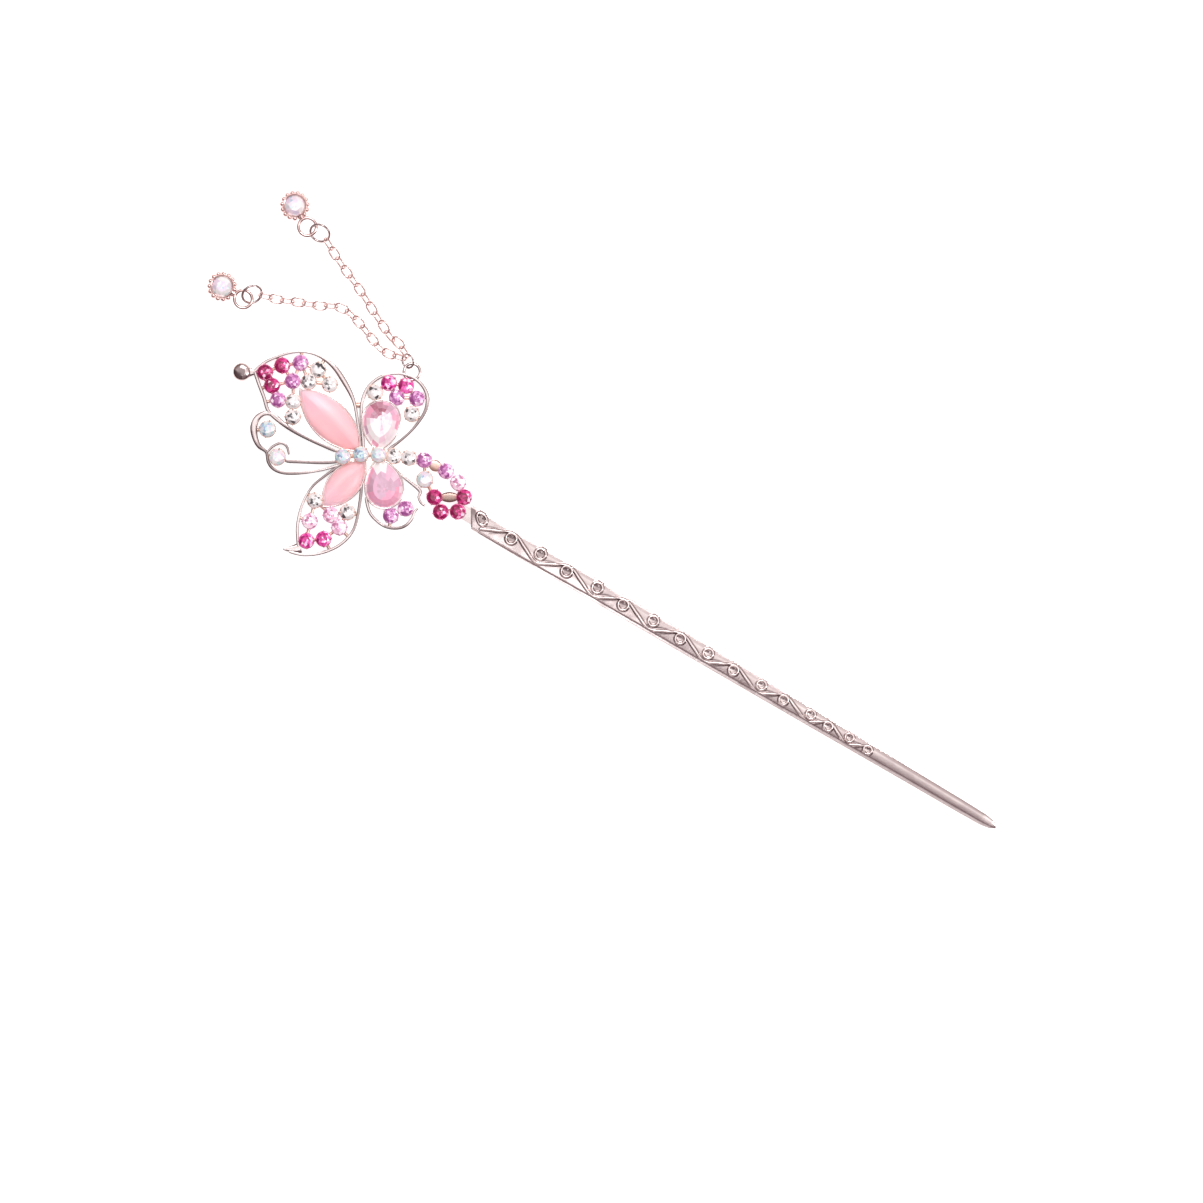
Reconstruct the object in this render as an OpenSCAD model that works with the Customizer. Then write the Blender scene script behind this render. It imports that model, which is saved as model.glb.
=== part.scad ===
// Butterfly hairpin with a cast stick, glass stones and two drops on fine chains.
// It lies on its back: X runs along the stick to its tip, Z points up, the floor is z = 0.

/* [Stick] */
// Length of the stick from its root to its tip
stick_l = 123; // [90:1:160]
// Width of the stick near its root
stick_w = 4.4; // [3.4:0.1:6]
// Thickness of the stick where it carries the vine
stick_t = 2.0; // [1.4:0.1:3]
// Length of the vine in relief along the stick
vine_l = 96; // [60:1:110]
// Width of the vine's rib
vine_w = 0.7; // [0.4:0.05:1]
// Height of the vine above the stick's face
vine_h = 0.4; // [0.2:0.05:0.8]
// Outer diameter of the curls beside the vine
curl_d = 2.7; // [1.8:0.1:3.2]
// Width of the ring of each curl
curl_w = 0.55; // [0.3:0.05:0.8]

/* [Butterfly frame] */
// Angle between the butterfly's body and the stick
body_turn = 30.6; // [0:0.2:60]
// Height of the wings' edge bands
edge_h = 1.6; // [1:0.1:2.4]
// Thickness of the wall round each large stone
bezel_t = 0.35; // [0.25:0.05:0.6]
// Height of the body row above the wings
body_lift = 1.0; // [0.6:0.1:1.6]
// Diameter of the polished button at the upper wing's tip
button_d = 3.7; // [2.4:0.1:5]
// Thickness of the polished button
button_t = 1.8; // [1:0.1:2.6]

/* [Stones] */
// Diameter of each small round stone
chaton_d = 2.9; // [2.2:0.05:3.2]
// Room between neighbouring small stones in a row
stone_room = 0.1; // [0.1:0.05:0.5]
// Diameter of the three larger opal stones
opal_d = 3.2; // [2.6:0.1:3.6]
// Height of a small stone's crown
crown_h = 0.5; // [0.3:0.05:0.8]
// Depth of a small stone's pavilion
pavilion_h = 1.2; // [0.8:0.05:1.5]
// Length of the upper wing's pointed cat's eye stone
upper_eye_l = 16.6; // [13:0.1:20]
// Width of the upper wing's pointed cat's eye stone
upper_eye_w = 7.0; // [5:0.1:9]
// Length of the lower wing's pointed cat's eye stone
lower_eye_l = 11.8; // [9:0.1:14]
// Width of the lower wing's pointed cat's eye stone
lower_eye_w = 5.7; // [4:0.1:7]
// Height of the cat's eye stones
eye_h = 2.4; // [1.6:0.1:3.2]
// Length of the two pear stones
pear_l = 9.6; // [8:0.1:12]
// Width of the two pear stones
pear_w = 7.2; // [6:0.1:9]
// Height of the pear stones' crown
pear_crown_h = 1.0; // [0.6:0.1:1.6]
// Depth of the pear stones' pavilion
pear_pavilion_h = 1.3; // [0.8:0.1:1.4]

/* [Settings] */
// Gap between a stone and its setting
seat_gap = 0.06; // [0.05:0.01:0.12]
// Thickness of the claws outside the stone
claw_t = 0.26; // [0.2:0.02:0.5]
// Height of the claws above the girdle
claw_h = 0.4; // [0.2:0.05:0.6]
// Height of the small stones' girdle above the floor
girdle_z = 2.0; // [1.8:0.1:2.6]
// Wire diameter of the eyelet on the wing and the eyes on the drops
eyelet_wire = 0.62; // [0.4:0.02:0.8]
// Mean diameter of the eyelet on the wing
eyelet_d = 3.24; // [2.6:0.1:4.4]

/* [Drops and chains] */
// Diameter of each drop's stone
drop_stone_d = 3.9; // [3:0.1:5]
// Diameter of each bead round a drop
bead_d = 1.0; // [0.7:0.05:1.2]
// Number of beads round each drop
bead_count = 15; // [12:1:16]
// Mean diameter of the eye on each drop
drop_eye_d = 3.56; // [3:0.1:4.6]
// Mean diameter of the jump ring on each drop
ring_d = 4.0; // [3.4:0.1:5]
// Wire diameter of the drops' jump rings
ring_wire = 0.5; // [0.3:0.05:0.6]
// Mean diameter of the jump ring on the wing's eyelet
bail_d = 2.8; // [2.4:0.1:3.6]
// Wire diameter of the wing's jump ring
bail_wire = 0.4; // [0.3:0.05:0.5]
// Outer length of a chain link
link_l = 3.1; // [2.6:0.05:3.6]
// Outer width of a chain link
link_w = 2.1; // [1.7:0.05:2.4]
// Wire diameter of a chain link
link_wire = 0.3; // [0.26:0.02:0.36]

/* [Hidden] */
$fn = 0;
$fa = 6;
$fs = 0.1;
metal = [0.85, 0.72, 0.70];
fuchsia = [0.86, 0.20, 0.55];
deep_fuchsia = [0.68, 0.07, 0.35];
lilac = [0.90, 0.58, 0.88];
pale_pink = [0.97, 0.80, 0.88];
clear = [0.93, 0.94, 0.95];
opal = [0.82, 0.90, 0.95];
eye_pink = [0.97, 0.74, 0.76];
rose = [0.96, 0.62, 0.78];

pitch = chaton_d + stone_room;
cup_base = 0.3;
cup_wall = seat_gap + claw_t;
girdle_t = 0.12;
table_share = 0.56;
big_base = 0.5;
big_girdle_z = cup_base + girdle_z - 0.1;
ledge_w = 0.45;

// Wings: tip in pitches right and up of the root, angle, stone length, stone width, kind of stone.
upper_left = [-7.17, 4.29, 134.3, upper_eye_l, upper_eye_w, "eye"];
lower_left = [-6.84, 3.47, 227.3, lower_eye_l, lower_eye_w, "eye"];
upper_right = [-5.89, 4.33, 84, pear_l, pear_w, "pear"];
lower_right = [-5.84, 3.61, -79.5, pear_l, pear_w, "pear"];

// A place on a wing: share of stone length, pitches along, share of stone width, pitches across.
function ray(a) = [cos(a), sin(a)];
function side(a) = [-sin(a), cos(a)];
function spot(w, r) = pitch * [w[0], w[1]] + (r[0] * w[3] + r[1] * pitch) * ray(w[2])
    + (r[2] * w[4] + r[3] * pitch) * side(w[2]);
function spots(w, rows) = [for (r = rows) spot(w, r)];
function path_on(w, rows) = [for (r = rows) concat(spot(w, r), [r[4]])];
function path_free(rows) = [for (r = rows) [r[0] * pitch, r[1] * pitch, r[2]]];

// Small stones on the wings, in the columns of spot().
upper_left_fuchsia = [
    [1, 2.54, 0.38, 0],
    [1, 2.06, -0.11, 0],
    [1, 1.58, 0.5, 0]
];
upper_left_lilac = [
    [1, 1.34, -0.5, -0.09],
    [1, 0.83, -0.01, 0],
    [1, 0.62, 0.5, 0.37]
];
upper_left_clear = [
    [1, 0.19, -0.5, -0.6],
    [1, 0.05, -0.32, -0.02],
    [0.81, 0, -0.5, -0.47],
    [0.97, 0, 0.37, 0.03],
    [0.85, -0.05, 0.5, 0.46]
];
upper_right_fuchsia = [
    [1, 1.25, -0.11, 0.02],
    [1, 1.19, -0.5, -0.2]
];
upper_right_lilac = [
    [1, 0.34, -0.36, 0],
    [1, 0.43, -0.5, -1.01]
];
upper_right_clear = [
    [1, 0.55, 0.24, 0.02],
    [0.8, 0, -0.5, -0.77]
];
lower_left_clear = [
    [1, 0.17, -0.34, -0.02],
    [0.81, 0.02, 0.5, 0.5]
];
lower_left_pink = [
    [1, 1.41, 0.01, 0],
    [1, 0.16, 0.4, 0],
    [1, 0.39, 0.5, 0.79]
];
lower_left_fuchsia = [
    [1, 2.53, 0.39, 0],
    [1, 1.66, 0.5, 0.54]
];
lower_right_lilac = [
    [1, 0.6, 0.04, 0],
    [1, 0.31, 0.47, 0.02]
];

// Body row and tail: pitches right and up of the root.
body_row = [[-8.25, 3.83], [-7.05, 3.97], [-5.87, 3.95]];
tail_row = [
    [-4.86, 3.86],
    [-3.85, 3.76],
    [-2.83, 3.6],
    [-1.37, 2.87],
    [-0.56, 2.1],
    [-0.17, 1.13],
    [-0.6, 0.17],
    [-1.73, 0.15],
    [-2.15, 1.13]
];
feeler_rows = [[-13.27, 5.67], [-12.62, 3.8]];
curl_opal_at = [-2.79, 2.31];

// Edge bands of the wings: the columns of spot(), then the band's thickness.
upper_left_edge = [
    [0.02, -0.02, -0.11, 0.01, 0.6],
    [0.21, 0, -0.45, 0, 0.6],
    [0.42, 0, -0.5, -0.7, 0.6],
    [0.56, 0, -0.5, -1.06, 0.9],
    [0.73, 0, -0.5, -1.32, 1.1],
    [0.91, 0, -0.5, -1.49, 1.0],
    [1, 0.4, -0.5, -1.41, 0.7],
    [1, 1.16, -0.5, -1.13, 0.5],
    [1, 1.82, -0.5, -0.66, 0.5],
    [1, 2.32, -0.5, -0.05, 0.5],
    [1, 2.73, -0.17, 0, 0.5],
    [1, 3.03, 0.19, 0, 0.6],
    [1, 3.07, 0.5, 0.17, 0.7]
];
upper_left_side = [
    [1, 3.07, 0.5, 0.17, 0.7],
    [1, 2.26, 0.5, 0.56, 0.7],
    [1, 1.41, 0.5, 0.93, 0.7],
    [1, 0.52, 0.5, 1.36, 0.7],
    [0.9, 0, 0.5, 1.3, 0.8],
    [0.7, 0, 0.5, 1.08, 0.7],
    [0.46, 0, 0.5, 0.64, 0.6],
    [0.17, 0, 0.5, -0.01, 0.6]
];
upper_right_edge = [
    [0, -0.1, 0.41, 0, 0.6],
    [0.24, 0, 0.46, 0.02, 0.6],
    [0.54, 0, 0.5, 0.13, 0.6],
    [0.88, 0, 0.5, 0.22, 0.6],
    [1, 0.42, 0.5, 0.08, 0.7],
    [1, 1.06, 0.4, 0, 0.6],
    [1, 1.62, 0.14, 0, 0.6],
    [1, 1.9, -0.17, 0, 0.5],
    [1, 1.94, -0.48, 0, 0.5],
    [1, 1.75, -0.5, -0.69, 0.6],
    [1, 1.27, -0.5, -1.33, 0.7],
    [1, 0.59, -0.5, -1.7, 0.8],
    [0.95, 0, -0.5, -1.69, 0.7],
    [0.72, 0, -0.5, -1.4, 0.6],
    [0.48, 0, -0.5, -0.92, 0.5],
    [0.25, 0, -0.5, -0.28, 0.5],
    [0, 0, -0.26, 0, 0.7]
];
lower_left_edge = [
    [0.05, 0, -0.06, 0, 0.6],
    [0.37, 0, 0.5, 0.13, 0.6],
    [0.6, 0, 0.5, 0.79, 0.6],
    [0.79, 0, 0.5, 1.28, 0.6],
    [0.98, 0, 0.5, 1.6, 0.6],
    [1, 0.71, 0.5, 1.67, 0.6],
    [1, 1.6, 0.5, 1.49, 0.6],
    [1, 2.56, 0.5, 0.99, 0.6],
    [1, 3.37, 0.5, 0.24, 0.6],
    [1, 3.85, 0.19, 0, 0.6]
];
lower_left_side = [
    [1, 3.17, 0.32, 0, 0.6],
    [1, 2.88, 0.14, 0, 0.6],
    [1, 2.28, -0.17, 0, 0.6],
    [1, 1.43, -0.46, 0, 0.6],
    [1, 0.5, -0.5, -0.32, 0.5],
    [0.87, 0, -0.5, -0.48, 0.5],
    [0.6, 0, -0.5, -0.33, 0.5],
    [0.29, 0, -0.5, -0.08, 0.6]
];
lower_left_lip = [
    [1, 3.1, 0.42, 0, 2.4],
    [1, 3.4, 0.3, 0, 1.9],
    [1, 3.68, 0.16, 0, 1.2],
    [1, 4.0, -0.04, 0, 0.4]
];
lower_right_edge = [
    [0.71, 0, -0.5, -0.13, 0.6],
    [1, 0.11, -0.5, -0.05, 0.6],
    [1, 0.82, -0.35, 0, 0.6],
    [1, 1.26, -0.15, 0, 0.6],
    [1, 1.48, 0.11, 0, 0.6],
    [1, 1.44, 0.37, 0, 0.6],
    [1, 1.07, 0.5, 0.22, 0.6],
    [1, 0.59, 0.5, 0.54, 0.5],
    [1, 0.44, 0.5, 0.79, 0.4]
];
lower_right_arm = [
    [0.04, 0, 0.18, 0, 0.6],
    [0.35, 0, 0.48, 0, 0.6],
    [0.62, 0, 0.5, 0.7, 0.7],
    [0.8, 0, 0.5, 1.11, 0.7],
    [0.91, 0, 0.5, 0.94, 0.5],
    [1, 0.07, 0.5, 1.01, 0.5],
    [1, 0.36, 0.5, 1.26, 0.6]
];
button_neck = [
    [1, 2.97, 0.5, 0.16, 0.8],
    [1, 3.15, 0.5, 0.32, 1.4],
    [1, 3.4, 0.5, 0.56, 2.4]
];
button_at = [1, 3.66, 0.5, 0.81];
eyelet_at = [1, 2.17, -0.5, -0.49];

// Bands of the feelers: pitches right and up of the root, then the band's thickness.
feeler_loop = [
    [-11.9, 5.8, 0.7],
    [-12.32, 6.12, 0.8],
    [-12.85, 6.6, 0.8],
    [-13.45, 6.72, 0.9],
    [-13.97, 6.4, 1.2],
    [-14.2, 5.8, 1.4],
    [-14.12, 5.13, 1.2],
    [-13.84, 4.53, 0.9],
    [-13.36, 4.13, 0.6],
    [-13.23, 3.47, 0.6],
    [-12.87, 3.0, 0.6],
    [-12.25, 2.75, 0.6],
    [-11.39, 2.72, 0.6],
    [-10.39, 2.81, 0.5],
    [-9.39, 3.01, 0.5],
    [-8.39, 3.33, 0.6]
];
feeler_stem = [
    [-12.1, 3.53, 0.7],
    [-10.92, 3.47, 0.6],
    [-9.59, 3.43, 0.6],
    [-8.52, 3.5, 0.6]
];
feeler_brow = [
    [-13.28, 4.13, 0.4],
    [-12.95, 4.5, 0.5],
    [-12.39, 4.74, 0.5],
    [-11.98, 4.5, 0.5],
    [-11.84, 3.95, 0.4]
];

// Stick: share of its length, share of its width, share of its thickness.
stick_sections = [
    [0.012, 0.97, 1],
    [0.16, 1, 1],
    [0.49, 0.87, 1],
    [0.65, 0.78, 1],
    [0.8, 0.67, 0.95],
    [0.93, 0.6, 0.8],
    [0.975, 0.54, 0.7],
    [0.991, 0.4, 0.6],
    [1, 0.14, 0.4]
];
// How far the root's end leans back across the stick.
root_slant = 0.6;
// Places of the vine's curls as shares of its length.
curl_places = [0.035, 0.106, 0.175, 0.24, 0.3125, 0.377, 0.448, 0.515, 0.581, 0.644, 0.71,
    0.765, 0.829, 0.873, 0.923, 0.969];

// Smooth curve through points that carry a thickness as their third value.
function curve_at(a, b, c, d, t) = 0.5 * ((2 * b) + (c - a) * t + (2 * a - 5 * b + 4 * c - d) * t * t
    + (3 * b - a - 3 * c + d) * t * t * t);
function smooth(p, n) = [for (i = [0 : len(p) - 2]) for (k = [0 : n - 1])
    curve_at(p[max(i - 1, 0)], p[i], p[i + 1], p[min(i + 2, len(p) - 1)], k / n),
    p[len(p) - 1]];
function flat(p) = [p[0], p[1]];
function unit(v) = v / norm(v);
function heading(p, i) = unit(flat(p[min(i + 1, len(p) - 1)]) - flat(p[max(i - 1, 0)]));
function left_of(v) = [-v[1], v[0]];
function band_outline(p) = concat(
    [for (i = [0 : len(p) - 1]) flat(p[i]) + p[i][2] / 2 * left_of(heading(p, i))],
    [for (i = [len(p) - 1 : -1 : 0]) flat(p[i]) - p[i][2] / 2 * left_of(heading(p, i))]);

module band(p, h, n = 3) {
    q = smooth(p, n);
    linear_extrude(height = h)
        polygon(band_outline(q));
}

// Outlines of the large stones, tip at the origin, grown by g.
function lens_radius(l, w) = (l * l + w * w) / (4 * w);
function lens_point(l, w, g, t) =
    let (r = lens_radius(l, w), c = r - w / 2, a = acos(c / (r + g)), s = t < 0.5 ? 1 : -1,
        f = t < 0.5 ? 4 * t - 1 : 3 - 4 * t)
    [l / 2 + (r + g) * sin(a * f), s * ((r + g) * cos(a * f) - c)];
function pear_point(l, w, g, t) =
    let (r = w / 2, h = l - r, q = (h * h + r * r) / (2 * r), a = acos((q - r) / (q + g)), u = 4 * t)
    u < 1 ? [h - (q + g) * sin(a * (1 - u)), (q + g) * cos(a * (1 - u)) - (q - r)]
    : u < 3 ? [h + (r + g) * sin(90 * (u - 1)), (r + g) * cos(90 * (u - 1))]
    : [h - (q + g) * sin(a * (u - 3)), (q - r) - (q + g) * cos(a * (u - 3))];
function big_outline(w, g, n) = [for (i = [0 : n - 1])
    w[5] == "eye" ? lens_point(w[3], w[4], g, i / n) : pear_point(w[3], w[4], g, i / n)];
function reverse(p) = [for (i = [len(p) - 1 : -1 : 0]) p[i]];

module on_wing(w) {
    translate(pitch * [w[0], w[1], 0])
        rotate([0, 0, w[2]])
            children();
}

module butterfly_axes() {
    rotate([0, 0, body_turn])
        children();
}

// Round brilliant: table of 8 corners, 8 star, 8 main and 16 girdle facets above a plain pavilion.
function ring_points(n, r, z, turn) = [for (i = [0 : n - 1])
    [r * cos(360 * i / n + turn), r * sin(360 * i / n + turn), z]];
module brilliant(d, crown, pavilion) {
    r = d / 2;
    rt = table_share * r;
    rm = 0.8 * r;
    zm = girdle_t + crown * (r - rm * cos(22.5)) / (r - rt);
    points = concat(
        ring_points(8, rt, girdle_t + crown, 0),
        ring_points(8, rm, zm, 22.5),
        ring_points(16, r, girdle_t, 0),
        ring_points(16, r, 0, 0),
        [[0, 0, -pavilion]]);
    faces = concat(
        [[for (i = [0 : 7]) i]],
        [for (i = [0 : 7]) [i, 8 + i, (i + 1) % 8]],
        [for (i = [0 : 7]) [i, 8 + (i + 7) % 8, 16 + 2 * i, 8 + i]],
        [for (i = [0 : 7]) [8 + i, 16 + 2 * i, 17 + 2 * i]],
        [for (i = [0 : 7]) [8 + i, 17 + 2 * i, 16 + (2 * i + 2) % 16]],
        [for (i = [0 : 15]) [16 + i, 32 + i, 32 + (i + 1) % 16, 16 + (i + 1) % 16]],
        [for (i = [0 : 15]) [32 + i, 48, 32 + (i + 1) % 16]]);
    polyhedron(points = points, faces = [for (f = faces) reverse(f)]);
}

module stones_at(places, d, lift = 0) {
    butterfly_axes()
        for (p = places)
            translate([p[0], p[1], girdle_z + lift])
                rotate([0, 0, 11])
                    brilliant(d, crown_h, pavilion_h);
}

// Room for a round stone: its own shape grown by the seat gap, open upwards inside the claws.
module seat(d, crown, pavilion) {
    r = d / 2;
    g = seat_gap;
    lip = 0.13;
    rise = crown * lip / (r - table_share * r);
    rotate_extrude()
        polygon([
            [0, -pavilion - 1.6 * g],
            [r + g, -0.8 * g],
            [r + g, girdle_t + g],
            [r - lip, girdle_t + rise + 1.6 * g],
            [r - lip, girdle_t + crown + 3],
            [0, girdle_t + crown + 3]
        ]);
}

// Claw cup: a tapered ring, notched above into four claws.
module cup(d, base, girdle, turn) {
    ro = d / 2 + cup_wall;
    top = girdle + girdle_t + claw_h;
    hole = 0.3 * d;
    notch = 0.62 * d;
    difference() {
        rotate_extrude()
            polygon([
                [hole, base],
                [ro - 0.4, base],
                [ro, base + 0.7],
                [ro, top],
                [hole, top]
            ]);
        for (a = [0, 90])
            rotate([0, 0, turn + a])
                translate([-2 * ro, -notch / 2, girdle - 0.35])
                    cube([4 * ro, notch, 4]);
    }
}

// Large stones: a smooth dome for a cat's eye, cut facets for a pear.
function shrunk(p, c, k, z) = [for (q = p) [c[0] + k * (q[0] - c[0]), c[1] + k * (q[1] - c[1]), z]];
module stacked(rings) {
    n = len(rings[0]);
    m = len(rings);
    points = [for (r = rings) for (p = r) p];
    faces = concat(
        [[for (i = [0 : n - 1]) i]],
        [for (k = [0 : m - 2]) for (i = [0 : n - 1])
            [k * n + i, (k + 1) * n + i, k * n + (i + 1) % n]],
        [for (k = [0 : m - 2]) for (i = [0 : n - 1])
            [k * n + (i + 1) % n, (k + 1) * n + i, (k + 1) * n + (i + 1) % n]],
        [reverse([for (i = [0 : n - 1]) (m - 1) * n + i])]);
    polyhedron(points = points, faces = [for (f = faces) reverse(f)]);
}

module cat_eye(w) {
    o = big_outline(w, 0, 40);
    c = [w[3] / 2, 0];
    side_h = 0.45 * eye_h;
    butterfly_axes()
        on_wing(w)
            translate([0, 0, big_base + ledge_w])
                stacked([
                    shrunk(o, c, 0.96, 0),
                    shrunk(o, c, 1, 0.15),
                    shrunk(o, c, 1, side_h),
                    shrunk(o, c, 0.93, side_h + 0.25 * (eye_h - side_h)),
                    shrunk(o, c, 0.78, side_h + 0.58 * (eye_h - side_h)),
                    shrunk(o, c, 0.55, side_h + 0.83 * (eye_h - side_h)),
                    shrunk(o, c, 0.28, side_h + 0.96 * (eye_h - side_h)),
                    shrunk(o, c, 0.06, eye_h)
                ]);
}

module pear(w) {
    o = big_outline(w, 0, 16);
    c = [w[3] - w[4] / 2, 0];
    butterfly_axes()
        on_wing(w)
            translate([0, 0, big_girdle_z])
                stacked([
                    shrunk(o, c, 0.06, -pear_pavilion_h),
                    shrunk(o, c, 0.55, -0.62 * pear_pavilion_h),
                    shrunk(o, c, 1, 0),
                    shrunk(o, c, 1, 0.15),
                    shrunk(o, c, 0.84, 0.15 + 0.58 * pear_crown_h),
                    shrunk(o, c, 0.62, 0.15 + pear_crown_h)
                ]);
}

// Wall and ledge that hold a large stone.
module bezel(w, top, ledge_top) {
    wall = reverse(big_outline(w, seat_gap + bezel_t, 40));
    room = reverse(big_outline(w, seat_gap, 40));
    hole = reverse(big_outline(w, -ledge_w, 40));
    on_wing(w)
        difference() {
            linear_extrude(height = top)
                polygon(wall);
            translate([0, 0, ledge_top])
                linear_extrude(height = top)
                    polygon(room);
            translate([0, 0, -1])
                linear_extrude(height = top + 2)
                    polygon(hole);
        }
}

// All small stones of one wing.
upper_left_small = concat(upper_left_fuchsia, upper_left_lilac, upper_left_clear);
upper_right_small = concat(upper_right_fuchsia, upper_right_lilac, upper_right_clear);
lower_left_small = concat(lower_left_clear, lower_left_pink, lower_left_fuchsia);

// Bars that join neighbouring cups, and each cup to the nearest point of an edge band.
bar_w = 0.8;
bar_h = 0.8;
bar_z = 0.45;
cup_r = chaton_d / 2 + cup_wall;
function nearest(p, path, i = 0, best = 0) = i >= len(path) ? best
    : nearest(p, path, i + 1, norm(flat(path[i]) - p) < norm(flat(path[best]) - p) ? i : best);
module bar(a, b) {
    d = b - a;
    translate([a[0], a[1], bar_z])
        rotate([0, 0, atan2(d[1], d[0])])
            translate([0, -bar_w / 2, 0])
                cube([norm(d), bar_w, bar_h]);
}
module cup_bars(places) {
    for (i = [0 : len(places) - 2])
        for (j = [i + 1 : len(places) - 1])
            if (norm(places[i] - places[j]) > 1.9 * cup_r && norm(places[i] - places[j]) < 1.45 * pitch)
                bar(places[i] + (cup_r - 0.35) * unit(places[j] - places[i]),
                    places[j] - (cup_r - 0.35) * unit(places[j] - places[i]));
}
module edge_bars(places, path, reach = 0.9) {
    q = smooth(path, 3);
    for (p = places) {
        k = nearest(p, q);
        e = flat(q[k]);
        if (norm(e - p) < reach * pitch && norm(e - p) > cup_r)
            bar(p + (cup_r - 0.35) * unit(e - p), e);
    }
}

module wing_metal(w, rows, edges, top, ledge_top) {
    places = spots(w, rows);
    bezel(w, top, ledge_top);
    for (p = places)
        translate([p[0], p[1], 0])
            cup(chaton_d, cup_base, girdle_z, w[2]);
    cup_bars(places);
    for (e = edges) {
        band(path_on(w, e), edge_h);
        edge_bars(places, path_on(w, e));
    }
}

module button() {
    p = spot(upper_left, button_at);
    r = button_d / 2;
    t = button_t / 2;
    translate([p[0], p[1], t])
        rotate_extrude()
            polygon([[0, -t], [0.7 * r, -t], [0.9 * r, -0.7 * t], [r, -0.25 * t],
                [r, 0.25 * t], [0.92 * r, 0.6 * t], [0.72 * r, 0.86 * t], [0.4 * r, 0.97 * t], [0, t]]);
}

module wire_ring(d, wire) {
    rotate_extrude()
        translate([d / 2, 0])
            circle(d = wire);
}

// The eyelet lies flat in the wing's plane; its height leaves room for the ring that hangs in it.
bail_tilt = 40;
eyelet_z = bail_d / 2 * sin(bail_tilt) + bail_wire / 2 + 0.05;
eyelet_p = spot(upper_right, eyelet_at);
module eyelet() {
    translate([eyelet_p[0], eyelet_p[1], eyelet_z])
        wire_ring(eyelet_d, eyelet_wire);
}

// Body row and tail.
function scaled(rows) = [for (r = rows) pitch * r];
body_places = scaled(body_row);
tail_places = scaled(tail_row);
feeler_places = scaled(feeler_rows);
curl_opal = pitch * curl_opal_at;

module body_metal() {
    for (i = [0 : len(body_places) - 1])
        translate([body_places[i][0], body_places[i][1], 0])
            cup(chaton_d, cup_base, girdle_z + body_lift, 0);
    bar(body_places[0], body_places[1]);
    bar(body_places[1], body_places[2]);
    // Block that joins the two upper wings beside the body.
    bar(spot(upper_left, upper_left_edge[2]), spot(upper_right, upper_right_edge[3]));
}

module tail_metal() {
    for (i = [0 : len(tail_places) - 1]) {
        a = tail_places[max(i - 1, 0)];
        b = tail_places[min(i + 1, len(tail_places) - 1)];
        translate([tail_places[i][0], tail_places[i][1], 0])
            cup(chaton_d, cup_base, girdle_z, atan2(b[1] - a[1], b[0] - a[0]));
    }
    // Plates between the third and fourth cup and across the curl.
    bridge(tail_places[2], tail_places[3], 1.7);
    bridge(tail_places[5], tail_places[8], 1.5);
    bar(curl_opal + (cup_r - 0.2) * unit(tail_places[2] - curl_opal), tail_places[2]
        - (cup_r - 0.35) * unit(tail_places[2] - curl_opal));
    bar(curl_opal + (cup_r - 0.2) * unit(tail_places[8] - curl_opal), tail_places[8]
        - (cup_r - 0.35) * unit(tail_places[8] - curl_opal));
    translate([curl_opal[0], curl_opal[1], 0])
        cup(opal_d, cup_base, girdle_z, 20);
}

module bridge(a, b, w) {
    u = unit(b - a);
    p = a + (cup_r - 0.35) * u;
    q = b - (cup_r - 0.35) * u;
    m = (p + q) / 2;
    band([concat(p, [0.7 * w]), concat(m, [1.1 * w]), concat(q, [0.7 * w])], girdle_z - 0.2, 4);
}

module feeler_metal() {
    for (p = feeler_places)
        translate([p[0], p[1], 0])
            cup(opal_d, cup_base, girdle_z, 30);
    band(path_free(feeler_loop), edge_h);
    band(path_free(feeler_brow), edge_h + 0.4);
    edge_bars(feeler_places, path_free(feeler_loop), 1.3);
    band(path_free(feeler_stem), edge_h);
}

// The stick: a flat bar with long chamfers, lofted through its sections.
function stick_section(s, slant) =
    let (x = s[0] * stick_l, w = s[1] * stick_w / 2, h = s[2] * stick_t)
    [for (p = [[-w + 0.15, 0], [-w, 0.35 * h], [-0.95 * w, 0.6 * h], [-0.7 * w, h],
        [0.8 * w, h], [0.95 * w, 0.7 * h], [w, 0.35 * h], [w - 0.15, 0]])
        [x - slant * p[0], p[0], p[1]]];
module stick_bar() {
    rings = [for (i = [0 : len(stick_sections) - 1])
        stick_section(stick_sections[i], i == 0 ? root_slant : 0)];
    n = len(rings[0]);
    m = len(rings);
    points = [for (r = rings) for (p = r) p];
    faces = concat(
        [[for (i = [n - 1 : -1 : 0]) i]],
        [for (k = [0 : m - 2]) for (i = [0 : n - 1])
            [k * n + i, k * n + (i + 1) % n, (k + 1) * n + i]],
        [for (k = [0 : m - 2]) for (i = [0 : n - 1])
            [k * n + (i + 1) % n, (k + 1) * n + (i + 1) % n, (k + 1) * n + i]],
        [[for (i = [0 : n - 1]) (m - 1) * n + i]]);
    polyhedron(points = points, faces = faces);
}

function stick_half(x) = stick_w / 2 * lookup(x / stick_l, [for (s = stick_sections) [s[0], s[1]]]);
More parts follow.
